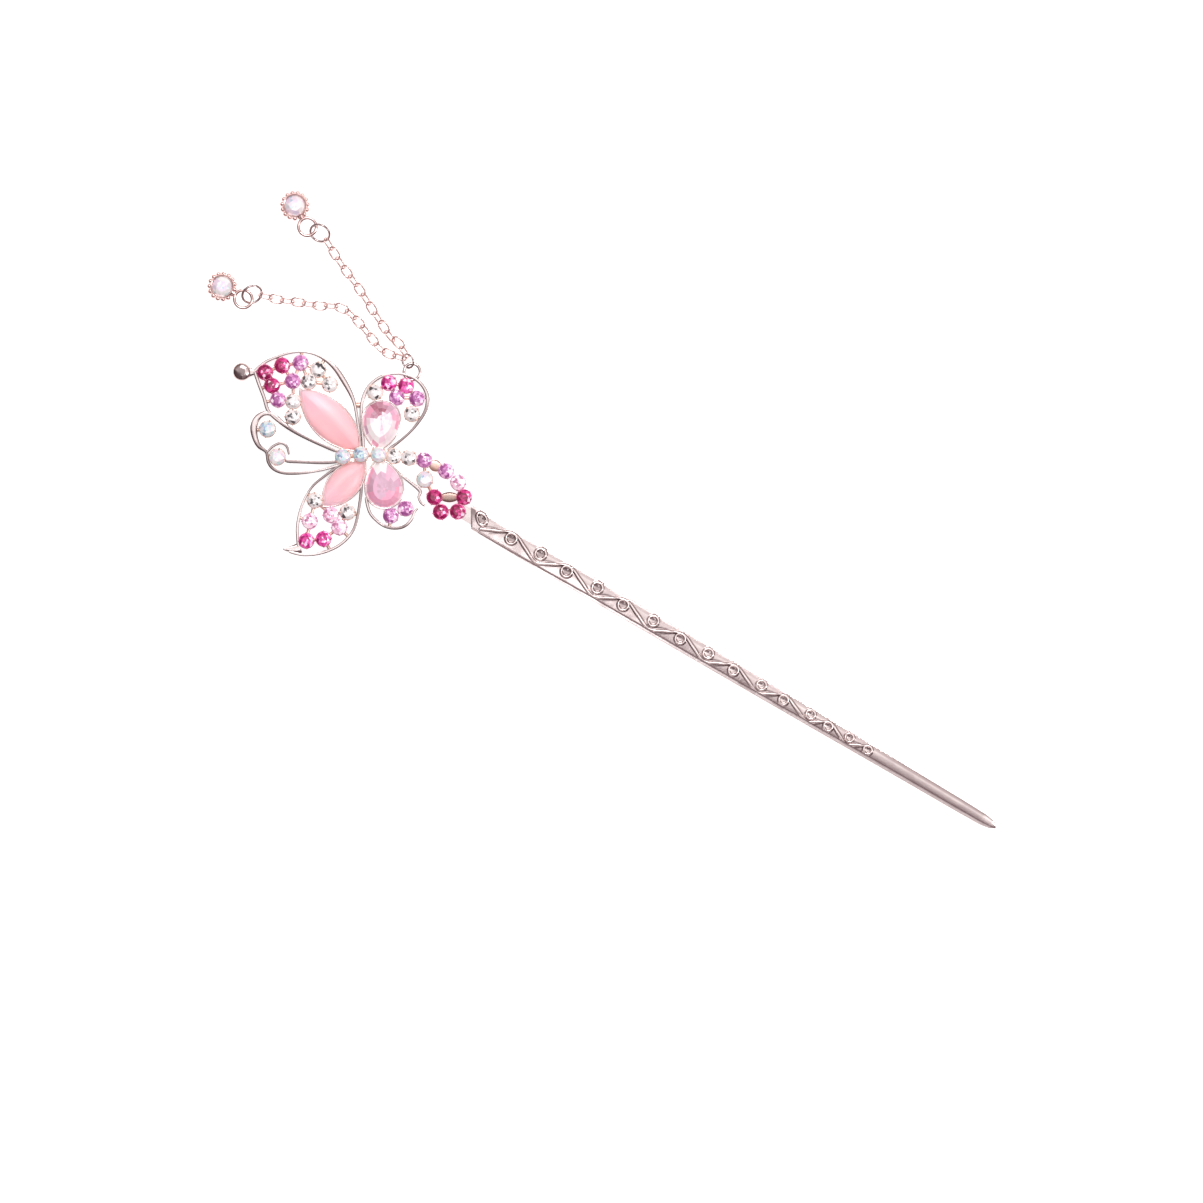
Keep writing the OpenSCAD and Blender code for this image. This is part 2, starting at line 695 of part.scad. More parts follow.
// The vine: its rib swings across the face at every curl, broad on the way down, with a leaf on the way up.
curl_xs = [for (c = curl_places) c * vine_l];
function rib_y(i) = (i % 2 == 0 ? -0.57 : 0.68) * stick_half(curl_xs[i]);
function curl_y(i) = (i % 2 == 0 ? 0.3 : 0.14) * stick_half(curl_xs[i]);
function curl_size(i) = curl_d * (0.4 + 0.6 * stick_half(curl_xs[i]) / (stick_w / 2));
module stick_relief() {
    last = len(curl_xs) - 1;
    rib = [for (i = [0 : last]) each concat([[curl_xs[i], rib_y(i), 0.8 * vine_w]],
        i == last ? [] : [[(curl_xs[i] + curl_xs[i + 1]) / 2, (rib_y(i) + rib_y(i + 1)) / 2,
            (i % 2 == 0 ? 0.8 : 1.2) * vine_w]])];
    translate([0, 0, stick_t - 0.3])
        band(rib, vine_h + 0.3, 3);
    for (i = [0 : 2 : last - 1])
        translate([0, 0, stick_t - 0.3])
            band([
                [curl_xs[i] + 0.55 * curl_size(i), rib_y(i) + 0.1, 0.2],
                [0.45 * curl_xs[i] + 0.55 * curl_xs[i + 1], 0.55 * rib_y(i), 0.5 * vine_w],
                [curl_xs[i + 1] - 0.45 * curl_size(i + 1), curl_y(i + 1) - 0.1, 0.2]
            ], 0.6 * vine_h + 0.3);
    for (i = [0 : last])
        translate([curl_xs[i], curl_y(i), stick_t - 0.35])
            difference() {
                cylinder(d = curl_size(i), h = vine_h + 0.3);
                translate([0, 0, -1])
                    cylinder(d = curl_size(i) - 2 * curl_w, h = 3);
            }
}
module stick_hollows() {
    for (i = [0 : len(curl_xs) - 1])
        translate([curl_xs[i], curl_y(i), stick_t - 0.35])
            cylinder(d = curl_size(i) - 2 * curl_w, h = 3);
}
tongue_l = 0.8 * pitch;
module stick_metal() {
    difference() {
        union() {
            stick_bar();
            stick_relief();
        }
        stick_hollows();
    }
    // Tongue under the tail, soldered to its last cups.
    translate([-tongue_l, -0.32 * stick_w, 0])
        cube([tongue_l + 3, 0.64 * stick_w, girdle_z - pavilion_h - 2 * seat_gap]);
}

module all_seats() {
    for (p = concat(spots(upper_left, upper_left_small), spots(upper_right, upper_right_small),
            spots(lower_left, lower_left_small), spots(lower_right, lower_right_lilac), tail_places))
        translate([p[0], p[1], girdle_z])
            seat(chaton_d, crown_h, pavilion_h);
    for (p = body_places)
        translate([p[0], p[1], girdle_z + body_lift])
            seat(chaton_d, crown_h, pavilion_h);
    for (p = concat(feeler_places, [curl_opal]))
        translate([p[0], p[1], girdle_z])
            seat(opal_d, crown_h, pavilion_h);
}

// Room of a large stone, kept free of all other metal.
module big_rooms() {
    for (w = [upper_left, lower_left])
        on_wing(w)
            translate([0, 0, big_base + ledge_w - seat_gap])
                linear_extrude(height = eye_h + 2 * seat_gap)
                    polygon(reverse(big_outline(w, seat_gap, 40)));
    for (w = [upper_right, lower_right])
        on_wing(w)
            translate([0, 0, big_girdle_z - 0.55])
                linear_extrude(height = 0.7 + pear_crown_h + seat_gap)
                    polygon(reverse(big_outline(w, seat_gap, 40)));
}

module frame() {
    eye_ledge = big_base + ledge_w - seat_gap;
    pear_ledge = big_girdle_z - 0.55;
    color(metal) {
        butterfly_axes()
            difference() {
                union() {
                    wing_metal(upper_left, upper_left_small, [upper_left_edge, upper_left_side],
                        eye_ledge + 0.9, eye_ledge);
                    wing_metal(upper_right, upper_right_small, [upper_right_edge],
                        big_girdle_z + 0.3, pear_ledge);
                    wing_metal(lower_left, lower_left_small, [lower_left_edge, lower_left_side],
                        eye_ledge + 0.9, eye_ledge);
                    wing_metal(lower_right, lower_right_lilac, [lower_right_edge, lower_right_arm],
                        big_girdle_z + 0.3, pear_ledge);
                    band(path_on(lower_left, lower_left_lip), edge_h);
                    band(path_on(upper_left, button_neck), 0.8 * edge_h);
                    button();
                    eyelet();
                    body_metal();
                    tail_metal();
                    feeler_metal();
                }
                all_seats();
                big_rooms();
            }
        stick_metal();
    }
}

// Stones.
module upper_left_fuchsia_stones() { color(deep_fuchsia) stones_at(spots(upper_left, upper_left_fuchsia), chaton_d); }
module upper_left_lilac_stones() { color(lilac) stones_at(spots(upper_left, upper_left_lilac), chaton_d); }
module upper_left_clear_stones() { color(clear) stones_at(spots(upper_left, upper_left_clear), chaton_d); }
module upper_right_fuchsia_stones() { color(fuchsia) stones_at(spots(upper_right, upper_right_fuchsia), chaton_d); }
module upper_right_lilac_stones() { color(lilac) stones_at(spots(upper_right, upper_right_lilac), chaton_d); }
module upper_right_clear_stones() { color(clear) stones_at(spots(upper_right, upper_right_clear), chaton_d); }
module lower_left_clear_stones() { color(clear) stones_at(spots(lower_left, lower_left_clear), chaton_d); }
module lower_left_pink_stones() { color(pale_pink) stones_at(spots(lower_left, lower_left_pink), chaton_d); }
module lower_left_fuchsia_stones() { color(fuchsia) stones_at(spots(lower_left, lower_left_fuchsia), chaton_d); }
module lower_right_lilac_stones() { color(lilac) stones_at(spots(lower_right, lower_right_lilac), chaton_d); }
module body_stone(i) { color(opal) stones_at([body_places[i]], chaton_d, body_lift); }
module tail_stone(i, c) { color(c) stones_at([tail_places[i]], chaton_d); }
module body_stone_1() { body_stone(0); }
module body_stone_2() { body_stone(1); }
module body_stone_3() { body_stone(2); }
module tail_stone_1() { tail_stone(0, clear); }
module tail_stone_2() { tail_stone(1, clear); }
module tail_stone_3() { tail_stone(2, lilac); }
module tail_stone_4() { tail_stone(3, lilac); }
module tail_stone_5() { tail_stone(4, pale_pink); }
module tail_stone_6() { tail_stone(5, deep_fuchsia); }
module tail_stone_7() { tail_stone(6, deep_fuchsia); }
module tail_stone_8() { tail_stone(7, deep_fuchsia); }
module tail_stone_9() { tail_stone(8, deep_fuchsia); }
module feeler_stone_1() { color(opal) stones_at([feeler_places[0]], opal_d); }
module feeler_stone_2() { color(opal) stones_at([feeler_places[1]], opal_d); }
module curl_stone() { color(opal) stones_at([curl_opal], opal_d); }
module upper_left_cat_eye() { color(eye_pink) cat_eye(upper_left); }
module lower_left_cat_eye() { color(eye_pink) cat_eye(lower_left); }
module upper_right_pear() { color(rose) pear(upper_right); }
module lower_right_pear() { color(rose) pear(lower_right); }

// Drops, in the butterfly's axes: eye centre, direction from the eye to the drop, to its jump ring.
ring_tilt = 38;
ring_z = ring_d / 2 * sin(ring_tilt) + ring_wire / 2 + 0.02;
drop_eye_z = ring_z;
rim_r = drop_stone_d / 2 + seat_gap + 0.5;
eye_reach = rim_r + drop_eye_d / 2 + 0.65;
drops = [
    [-31.86, 57.44, 120.4, -26.4],
    [-44.68, 43.0, 149.2, 27.8]
];
// Distance between the centres of a drop's eye and its jump ring.
ring_steps = [2.79, 2.0];

module drop_axes(k) {
    butterfly_axes()
        translate([drops[k][0], drops[k][1], 0])
            children();
}
module drop_setting(k) {
    g = 1.5;
    drop_axes(k)
        difference() {
            union() {
                translate([0, 0, drop_eye_z])
                    wire_ring(drop_eye_d, eyelet_wire);
                rotate([0, 0, drops[k][2]])
                    translate([eye_reach, 0, 0]) {
                        cylinder(r = rim_r, h = g + 0.25);
                        for (i = [0 : bead_count - 1])
                            rotate([0, 0, 360 * i / bead_count + 5])
                                translate([rim_r + 0.05, 0, g - 0.35])
                                    sphere(d = bead_d);
                        translate([-rim_r - 0.9, -0.6, 0.6])
                            cube([1.2, 1.2, 1.2]);
                    }
            }
            rotate([0, 0, drops[k][2]])
                translate([eye_reach, 0, g]) {
                    seat(drop_stone_d, 0.7, 1.1);
                    translate([0, 0, -3])
                        cylinder(d = 0.5 * drop_stone_d, h = 3);
                }
        }
}
module drop_stone(k) {
    drop_axes(k)
        rotate([0, 0, drops[k][2]])
            translate([eye_reach, 0, 1.5])
                brilliant(drop_stone_d, 0.7, 1.1);
}
module drop_ring(k, tilt) {
    drop_axes(k)
        rotate([0, 0, drops[k][3]])
            translate([ring_steps[k], 0, ring_z])
                rotate([tilt, 0, 0])
                    wire_ring(ring_d, ring_wire);
}
module setting_1() { color(metal) drop_setting(0); }
module setting_2() { color(metal) drop_setting(1); }
module drop_stone_1() { color(opal) drop_stone(0); }
module drop_stone_2() { color(opal) drop_stone(1); }
module jump_ring_1() { color(metal) drop_ring(0, ring_tilt); }
module jump_ring_2() { color(metal) drop_ring(1, ring_tilt); }

// The ring on the wing's eyelet, rolled about the line between their centres.
bail_dir = 111.7;
bail_step = eyelet_d / 2 - eyelet_wire / 2 + bail_d / 2 - bail_wire / 2 - 0.22;
bail_p = eyelet_p + bail_step * ray(bail_dir);
module bail_ring() {
    color(metal)
        butterfly_axes()
            translate([bail_p[0], bail_p[1], eyelet_z])
                rotate([0, 0, bail_dir])
                    rotate([-bail_tilt, 0, 0])
                        wire_ring(bail_d, bail_wire);
}

// Where a chain's end link holds a tilted ring, in plan: a turn round the ring from its own axis.
function ring_hold(c, r, a, tilt, t) = c + r * cos(t) * ray(a) + r * cos(tilt) * sin(t) * side(a);
function ring_centre(k) = [drops[k][0], drops[k][1]] + ring_steps[k] * ray(drops[k][3]);
ring_hold_d = link_l / 2 - link_wire - ring_wire / 2 - 0.12;
bail_hold_d = link_l / 2 - link_wire - bail_wire / 2 - 0.45;

// Chains: chosen points of their routes in the butterfly's axes, from the drop's ring to the wing.
chain_1_points = [
    [-26.0, 51.4],
    [-24.8, 49.6],
    [-23.5, 47.8],
    [-22.2, 46.1],
    [-21.0, 44.3],
    [-19.7, 42.3],
    [-18.6, 40.5],
    [-17.4, 38.7],
    [-15.9, 36.4],
    [-15.0, 35.0]
];
chain_2_points = [
    [-38.4, 43.1],
    [-36.4, 42.7],
    [-34.2, 42.5],
    [-32.0, 42.1],
    [-29.6, 41.7],
    [-27.4, 41.7],
    [-25.4, 41.4],
    [-24.0, 40.7],
    [-22.8, 39.6],
    [-21.4, 38.2],
    [-20.0, 36.5],
    [-18.6, 34.7],
    [-17.4, 33.2]
];
function route(k, points, t0, t1, arrive) =
    let (a = ring_hold(ring_centre(k), ring_d / 2, drops[k][3], ring_tilt, t0),
        b = ring_hold(bail_p, bail_d / 2, bail_dir, bail_tilt, t1))
    concat([a + ring_hold_d * unit(points[0] - a)], points,
        [b - (bail_hold_d + link_reach) * ray(arrive), b - bail_hold_d * ray(arrive)]);
link_room = 0.1;
link_reach = link_l - 2 * link_wire - link_room;
link_roll = 30;
chain_1_route = route(0, chain_1_points, -26, -10, -56);
chain_2_route = route(1, chain_2_points, -39, 46, -18);
chain_z = (link_w - link_wire) / 2 * cos(link_roll) + link_wire / 2 + 0.02;

// Walk along a route in equal steps. The number of steps is even, so both end links stand on edge.
function run_length(p, i = 0) = i >= len(p) - 1 ? 0 : norm(p[i + 1] - p[i]) + run_length(p, i + 1);
function along(p, s, i = 0) =
    let (d = norm(p[i + 1] - p[i]))
    s <= d || i == len(p) - 2 ? p[i] + s / d * (p[i + 1] - p[i]) : along(p, s - d, i + 1);
function link_steps(route) = 2 * ceil(run_length(route) / link_reach / 2);

module link() {
    s = (link_l - link_w) / 2;
    r = (link_w - link_wire) / 2;
    for (k = [-1, 1])
        translate([k * s, 0, 0])
            rotate([0, 0, k > 0 ? -90 : 90])
                rotate_extrude(angle = 180)
                    translate([r, 0])
                        circle(d = link_wire);
    for (k = [-1, 1])
        translate([-s, k * r, 0])
            rotate([0, 90, 0])
                cylinder(d = link_wire, h = 2 * s);
}
module chain(route) {
    n = link_steps(route);
    step = run_length(route) / n;
    butterfly_axes()
        for (i = [0 : n]) {
            p = along(route, i * step);
            a = along(route, max(i - 0.5, 0) * step);
            b = along(route, min(i + 0.5, n) * step);
            d = b - a;
            translate([p[0], p[1], chain_z])
                rotate([0, 0, atan2(d[1], d[0])])
                    rotate([i % 2 == 0 ? link_roll - 90 : link_roll, 0, 0])
                        link();
        }
}
module chain_1() { color(metal) chain(chain_1_route); }
module chain_2() { color(metal) chain(chain_2_route); }

frame();
upper_left_fuchsia_stones();
upper_left_lilac_stones();
upper_left_clear_stones();
upper_right_fuchsia_stones();
upper_right_lilac_stones();
upper_right_clear_stones();
lower_left_clear_stones();
lower_left_pink_stones();
lower_left_fuchsia_stones();
lower_right_lilac_stones();
body_stone_1();
body_stone_2();
body_stone_3();
tail_stone_1();
tail_stone_2();
tail_stone_3();
tail_stone_4();
tail_stone_5();
tail_stone_6();
tail_stone_7();
tail_stone_8();
tail_stone_9();
feeler_stone_1();
feeler_stone_2();
curl_stone();
upper_left_cat_eye();
lower_left_cat_eye();
upper_right_pear();
lower_right_pear();
setting_1();
setting_2();
drop_stone_1();
drop_stone_2();
jump_ring_1();
jump_ring_2();
bail_ring();
chain_1();
chain_2();
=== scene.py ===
import itertools
import math

import bpy
import numpy as np
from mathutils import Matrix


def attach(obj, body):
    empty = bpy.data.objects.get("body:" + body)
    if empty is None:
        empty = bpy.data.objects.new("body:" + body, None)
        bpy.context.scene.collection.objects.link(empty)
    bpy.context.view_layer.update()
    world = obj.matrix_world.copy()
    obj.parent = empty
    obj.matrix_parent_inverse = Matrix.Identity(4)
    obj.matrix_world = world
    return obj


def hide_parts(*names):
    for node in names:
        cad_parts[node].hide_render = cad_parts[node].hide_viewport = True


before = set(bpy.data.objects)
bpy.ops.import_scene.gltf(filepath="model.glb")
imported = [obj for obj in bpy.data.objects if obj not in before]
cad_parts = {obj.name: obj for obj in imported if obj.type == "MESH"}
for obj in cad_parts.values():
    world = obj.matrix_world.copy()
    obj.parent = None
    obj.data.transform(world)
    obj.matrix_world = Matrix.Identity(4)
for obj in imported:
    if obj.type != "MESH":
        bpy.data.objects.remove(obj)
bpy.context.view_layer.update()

print("stage: frame loaded")

mm = 0.001
bodyTurn = 30.6  # degrees from the stick to the butterfly's own axes
pitch = 3.0  # spacing of the small stones, and the unit of the tables below
studio = {"pictureTurn": 30.6, "middle": (32.1, -1.32), "high": 2000.0, "frameWidth": 240.6, "sensor": 36.0}


# Points and curves, in millimetres, and angles in degrees.

def ray(angle):
    # unit vector (cos, sin) of an angle
    return np.array([math.cos(math.radians(angle)), math.sin(math.radians(angle))])


def around(count):
    # angles in radians, evenly round a full turn
    return np.linspace(0, 2 * math.pi, count, endpoint=False)


def toPart(points):
    # turns points from the butterfly's axes into the part's axes, about Z
    points = np.asarray(points, float)
    c, s = ray(bodyTurn)
    turned = points.copy()
    turned[..., 0] = points[..., 0] * c - points[..., 1] * s
    turned[..., 1] = points[..., 0] * s + points[..., 1] * c
    return turned


def smoothPath(rows, steps=6):
    # Catmull-Rom curve through the rows: each column is a cubic in t between two rows
    p = np.asarray(rows, float)
    before = np.vstack([p[:1], p[:-1]])[:-1]
    after = np.vstack([p[2:], p[-1:]])
    a, b, c, d = before[:, None], p[:-1][:, None], p[1:][:, None], after[:, None]
    t = np.linspace(0, 1, steps, endpoint=False)[None, :, None]
    curve = 0.5 * (2 * b + (c - a) * t + (2 * a - 5 * b + 4 * c - d) * t**2 + (3 * b - a - 3 * c + d) * t**3)
    return np.vstack([curve.reshape(-1, p.shape[1]), p[-1:]])


def towards(a, b, distance):
    # the point so far from a on the way to b
    return a + distance * (b - a) / np.linalg.norm(b - a)


def nearestOn(path, p):
    # the row of the path that lies nearest to p
    return path[np.argmin(np.linalg.norm(path - p, axis=1))]


def headings(path):
    # unit tangents from the neighbours on both sides
    step = np.gradient(path, axis=0)
    return step / np.linalg.norm(step, axis=1, keepdims=True)


def place(points, centre, turn=0.0, tilt=0.0):
    # rotation about X by tilt, about Z by turn, then a shift
    (ct, st), (cz, sz) = ray(tilt), ray(turn)
    x, y, up = points[..., 0], points[..., 1], points[..., 2]
    y, up = y * ct - up * st, y * st + up * ct
    x, y = x * cz - y * sz, x * sz + y * cz
    return np.stack([x + centre[0], y + centre[1], up + centre[2]], -1)


def gridFaces(rows, columns, wrapRows=False, wrapColumns=False):
    # quads between neighbouring rows and columns of a grid of vertices
    r = np.arange(rows if wrapRows else rows - 1)
    c = np.arange(columns if wrapColumns else columns - 1)
    r, c = np.meshgrid(r, c, indexing="ij")
    rNext, cNext = (r + 1) % rows, (c + 1) % columns
    quads = np.stack([r * columns + c, r * columns + cNext, rNext * columns + cNext, rNext * columns + c], -1)
    return quads.reshape(-1, 4)


class Shape:
    # gathers the grids of one piece: vertices in millimetres, faces and a tone for each face
    def __init__(self):
        self.vertices, self.faces, self.tones, self.uvs, self.count = [], [], [], [], 0

    def add(self, vertices, faces, tone=0.5, uv=None):
        # faces count from the first of these vertices
        self.vertices.append(vertices)
        self.faces += [[i + self.count for i in face] for face in faces]
        self.tones.append(np.broadcast_to(tone, (len(faces),)).astype(float))
        self.uvs.append(np.zeros((len(vertices), 2)) if uv is None else uv.reshape(-1, 2))
        self.count += len(vertices)

    def grid(self, points, wrapRows=False, wrapColumns=False, capped=False, tone=0.5, uv=None):
        # a surface on a grid, turned inside out where its signed volume is below zero
        rows, columns = points.shape[:2]
        quads = gridFaces(rows, columns, wrapRows, wrapColumns)
        faces = quads.tolist()
        if capped:
            faces += [list(range(columns))[::-1], list(range((rows - 1) * columns, rows * columns))]
        flat = points.reshape(-1, 3)
        a, b, c, d = (flat[quads[:, k]] for k in range(4))
        volume = np.einsum("ij,ij->i", a, np.cross(b, c) + np.cross(c, d)).sum()
        volume -= (flat.mean(0) * (np.cross(b - a, c - a) + np.cross(c - a, d - a))).sum()
        if volume < 0:
            faces = [face[::-1] for face in faces]
        if np.size(tone) == columns:  # one tone for each column, caps plain
            tone = np.append(np.tile(tone, len(quads) // columns), [0.5] * len(faces))[:len(faces)]
        self.add(flat, faces, tone, uv)

    def piece(self, name, material, slotName, replaced, smooth=True, sharpAngle=50):
        # one object with all grids in its mesh, and the tones as an attribute of the faces
        mesh = bpy.data.meshes.new(name)
        mesh.from_pydata((np.vstack(self.vertices) * mm).tolist(), [], self.faces)
        mesh.validate()
        mesh.polygons.foreach_set("use_smooth", np.full(len(mesh.polygons), smooth))
        tones = np.concatenate(self.tones).astype(np.float32)
        mesh.attributes.new("tone", "FLOAT", "FACE").data.foreach_set("value", tones)
        corners = np.zeros(len(mesh.loops), np.int32)
        mesh.loops.foreach_get("vertex_index", corners)
        layer = mesh.uv_layers.new(name="UVMap")
        layer.data.foreach_set("uv", np.vstack(self.uvs)[corners].ravel().astype(np.float32))
        if smooth:
            mesh.set_sharp_from_angle(angle=math.radians(sharpAngle))
        mesh.materials.append(material)
        thing = bpy.data.objects.new(name, mesh)
        bpy.context.scene.collection.objects.link(thing)
        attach(thing, "root")
        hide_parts(*replaced)


def sweep(shape, path, profile, tone=0.5):
    # profile rows (side, up) carried along a path of (x, y, z), side taken level and square to the path
    tangent = headings(path)
    side = np.stack([-tangent[:, 1], tangent[:, 0], 0 * tangent[:, 0]], -1)
    side /= np.linalg.norm(side, axis=1, keepdims=True)
    up = np.cross(tangent, side)
    profile = np.broadcast_to(profile, (len(path),) + profile.shape[-2:])
    points = path[:, None, :] + side[:, None, :] * profile[..., :1] + up[:, None, :] * profile[..., 1:]
    shape.grid(points, False, True, True, tone)


def wireProfile(count=10):
    # unit circle of a wire, as (side, up)
    a = around(count)
    return np.stack([np.cos(a), np.sin(a)], -1)


def lathe(shape, profile, centre, count=32, tone=0.5, closedProfile=True):
    # rows (radius, height) turned about a vertical axis through the centre
    profile = np.asarray(profile, float)
    a = around(count)
    radius, height = profile[:, :1], np.repeat(profile[:, 1:], count, 1)
    points = np.stack([radius * np.cos(a), radius * np.sin(a), height], -1)
    shape.grid(points + centre, closedProfile, True, not closedProfile, tone)


def ball(shape, centre, radius):
    # sphere: height and radius from one angle, place round the axis from the other
    pole = math.pi / 2 - 0.18
    a = np.linspace(-pole, pole, 7)
    lathe(shape, radius * np.stack([np.cos(a), np.sin(a)], -1), centre, 12, closedProfile=False)


def torus(shape, centre, ringRadius, wireRadius, turn=0.0, tilt=0.0):
    # circle of the wire carried round the ring, then tilted and turned; painted shade down the wire's flanks
    a, b = around(72)[:, None], around(12)[None]
    reach = ringRadius + wireRadius * np.cos(b)
    points = np.stack([reach * np.cos(a), reach * np.sin(a), wireRadius * np.sin(b) + 0 * a], -1)
    tone = 0.5 - 0.4 * np.cos(b[0] + math.pi / 12) ** 2
    shape.grid(place(points, centre, turn, tilt), True, True, tone=tone)


# Wings: tip in pitches, angle, and the large stone's length and width. A place on a wing is a row of
# (share of stone length, pitches along, share of stone width, pitches across), edges add a thickness.
wings = {
    "upperLeft": {"tip": (-7.17, 4.29), "angle": 134.3, "length": 16.6, "width": 7.0, "kind": "eye"},
    "lowerLeft": {"tip": (-6.84, 3.47), "angle": 227.3, "length": 11.8, "width": 5.7, "kind": "eye"},
    "upperRight": {"tip": (-5.89, 4.33), "angle": 84, "length": 9.6, "width": 7.2, "kind": "pear"},
    "lowerRight": {"tip": (-5.84, 3.61), "angle": -79.5, "length": 9.6, "width": 7.2, "kind": "pear"},
}
wingStones = {
    "upperLeft": {
        "deepFuchsia": [(1, 2.54, 0.38, 0), (1, 2.06, -0.11, 0), (1, 1.58, 0.5, 0)],
        "lilac": [(1, 1.34, -0.5, -0.09), (1, 0.83, -0.01, 0), (1, 0.62, 0.5, 0.37)],
        "clear": [(1, 0.19, -0.5, -0.6), (1, 0.05, -0.32, -0.02), (0.81, 0, -0.5, -0.47),
                  (0.97, 0, 0.37, 0.03), (0.85, -0.05, 0.5, 0.46)]},
    "upperRight": {
        "fuchsia": [(1, 1.25, -0.11, 0.02), (1, 1.19, -0.5, -0.2)],
        "lilac": [(1, 0.34, -0.36, 0), (1, 0.43, -0.5, -1.01)],
        "clear": [(1, 0.55, 0.24, 0.02), (0.8, 0, -0.5, -0.77)]},
    "lowerLeft": {
        "clear": [(1, 0.17, -0.34, -0.02), (0.81, 0.02, 0.5, 0.5)],
        "palePink": [(1, 1.41, 0.01, 0), (1, 0.16, 0.4, 0), (1, 0.39, 0.5, 0.79)],
        "fuchsia": [(1, 2.53, 0.39, 0), (1, 1.66, 0.5, 0.54)]},
    "lowerRight": {
        "lilac": [(1, 0.6, 0.04, 0), (1, 0.31, 0.47, 0.02)]},
}
wingEdges = {
    ("upperLeft", "edge"): [
        (0.02, -0.02, -0.11, 0.01, 0.6), (0.21, 0, -0.45, 0, 0.6), (0.42, 0, -0.5, -0.7, 0.6),
        (0.56, 0, -0.5, -1.06, 0.9), (0.73, 0, -0.5, -1.32, 1.1), (0.91, 0, -0.5, -1.49, 1),
        (1, 0.4, -0.5, -1.41, 0.7), (1, 1.16, -0.5, -1.13, 0.5), (1, 1.82, -0.5, -0.66, 0.5),
        (1, 2.32, -0.5, -0.05, 0.5), (1, 2.73, -0.17, 0, 0.5), (1, 3.03, 0.19, 0, 0.6),
        (1, 3.07, 0.5, 0.17, 0.7),
    ],
    ("upperLeft", "side"): [
        (1, 3.07, 0.5, 0.17, 0.7), (1, 2.26, 0.5, 0.56, 0.7), (1, 1.41, 0.5, 0.93, 0.7),
        (1, 0.52, 0.5, 1.36, 0.7), (0.9, 0, 0.5, 1.3, 0.8), (0.7, 0, 0.5, 1.08, 0.7),
        (0.46, 0, 0.5, 0.64, 0.6), (0.17, 0, 0.5, -0.01, 0.6),
    ],
    ("upperRight", "edge"): [
        (0, -0.1, 0.41, 0, 0.6), (0.24, 0, 0.46, 0.02, 0.6), (0.54, 0, 0.5, 0.13, 0.6),
        (0.88, 0, 0.5, 0.22, 0.6), (1, 0.42, 0.5, 0.08, 0.7), (1, 1.06, 0.4, 0, 0.6),
        (1, 1.62, 0.14, 0, 0.6), (1, 1.9, -0.17, 0, 0.5), (1, 1.94, -0.48, 0, 0.5),
        (1, 1.75, -0.5, -0.69, 0.6), (1, 1.27, -0.5, -1.33, 0.7), (1, 0.59, -0.5, -1.7, 0.8),
        (0.95, 0, -0.5, -1.69, 0.7), (0.72, 0, -0.5, -1.4, 0.6), (0.48, 0, -0.5, -0.92, 0.5),
        (0.25, 0, -0.5, -0.28, 0.5), (0, 0, -0.26, 0, 0.7),
    ],
    ("lowerLeft", "edge"): [
        (0.05, 0, -0.06, 0, 0.6), (0.37, 0, 0.5, 0.13, 0.6), (0.6, 0, 0.5, 0.79, 0.6),
        (0.79, 0, 0.5, 1.28, 0.6), (0.98, 0, 0.5, 1.6, 0.6), (1, 0.71, 0.5, 1.67, 0.6),
        (1, 1.6, 0.5, 1.49, 0.6), (1, 2.56, 0.5, 0.99, 0.6), (1, 3.37, 0.5, 0.24, 0.6),
        (1, 3.85, 0.19, 0, 0.6),
    ],
    ("lowerLeft", "side"): [
        (1, 3.17, 0.32, 0, 0.6), (1, 2.88, 0.14, 0, 0.6), (1, 2.28, -0.17, 0, 0.6),
        (1, 1.43, -0.46, 0, 0.6), (1, 0.5, -0.5, -0.32, 0.5), (0.87, 0, -0.5, -0.48, 0.5),
        (0.6, 0, -0.5, -0.33, 0.5), (0.29, 0, -0.5, -0.08, 0.6),
    ],
    ("lowerLeft", "lip"): [
        (1, 3.1, 0.42, 0, 2.4), (1, 3.4, 0.3, 0, 1.9), (1, 3.68, 0.16, 0, 1.2), (1, 4, -0.04, 0, 0.4),
    ],
    ("lowerRight", "edge"): [
        (0.71, 0, -0.5, -0.13, 0.6), (1, 0.11, -0.5, -0.05, 0.6), (1, 0.82, -0.35, 0, 0.6),
        (1, 1.26, -0.15, 0, 0.6), (1, 1.48, 0.11, 0, 0.6), (1, 1.44, 0.37, 0, 0.6),
        (1, 1.07, 0.5, 0.22, 0.6), (1, 0.59, 0.5, 0.54, 0.5), (1, 0.44, 0.5, 0.79, 0.4),
    ],
    ("lowerRight", "arm"): [
        (0.04, 0, 0.18, 0, 0.6), (0.35, 0, 0.48, 0, 0.6), (0.62, 0, 0.5, 0.7, 0.7),
        (0.8, 0, 0.5, 1.11, 0.7), (0.91, 0, 0.5, 0.94, 0.5), (1, 0.07, 0.5, 1.01, 0.5),
        (1, 0.36, 0.5, 1.26, 0.6),
    ],
    ("upperLeft", "neck"): [
        (1, 2.97, 0.5, 0.16, 0.8), (1, 3.15, 0.5, 0.32, 1.4), (1, 3.4, 0.5, 0.56, 2.4),
    ],
}
rowPlaces = {  # in pitches from the root of the stick
    "body": [(-8.25, 3.83), (-7.05, 3.97), (-5.87, 3.95)],
    "tail": [
        (-4.86, 3.86), (-3.85, 3.76), (-2.83, 3.6), (-1.37, 2.87), (-0.56, 2.1), (-0.17, 1.13),
        (-0.6, 0.17), (-1.73, 0.15), (-2.15, 1.13),
    ],
    "feelers": [(-13.27, 5.67), (-12.62, 3.8)],
    "curl": [(-2.79, 2.31)],
}
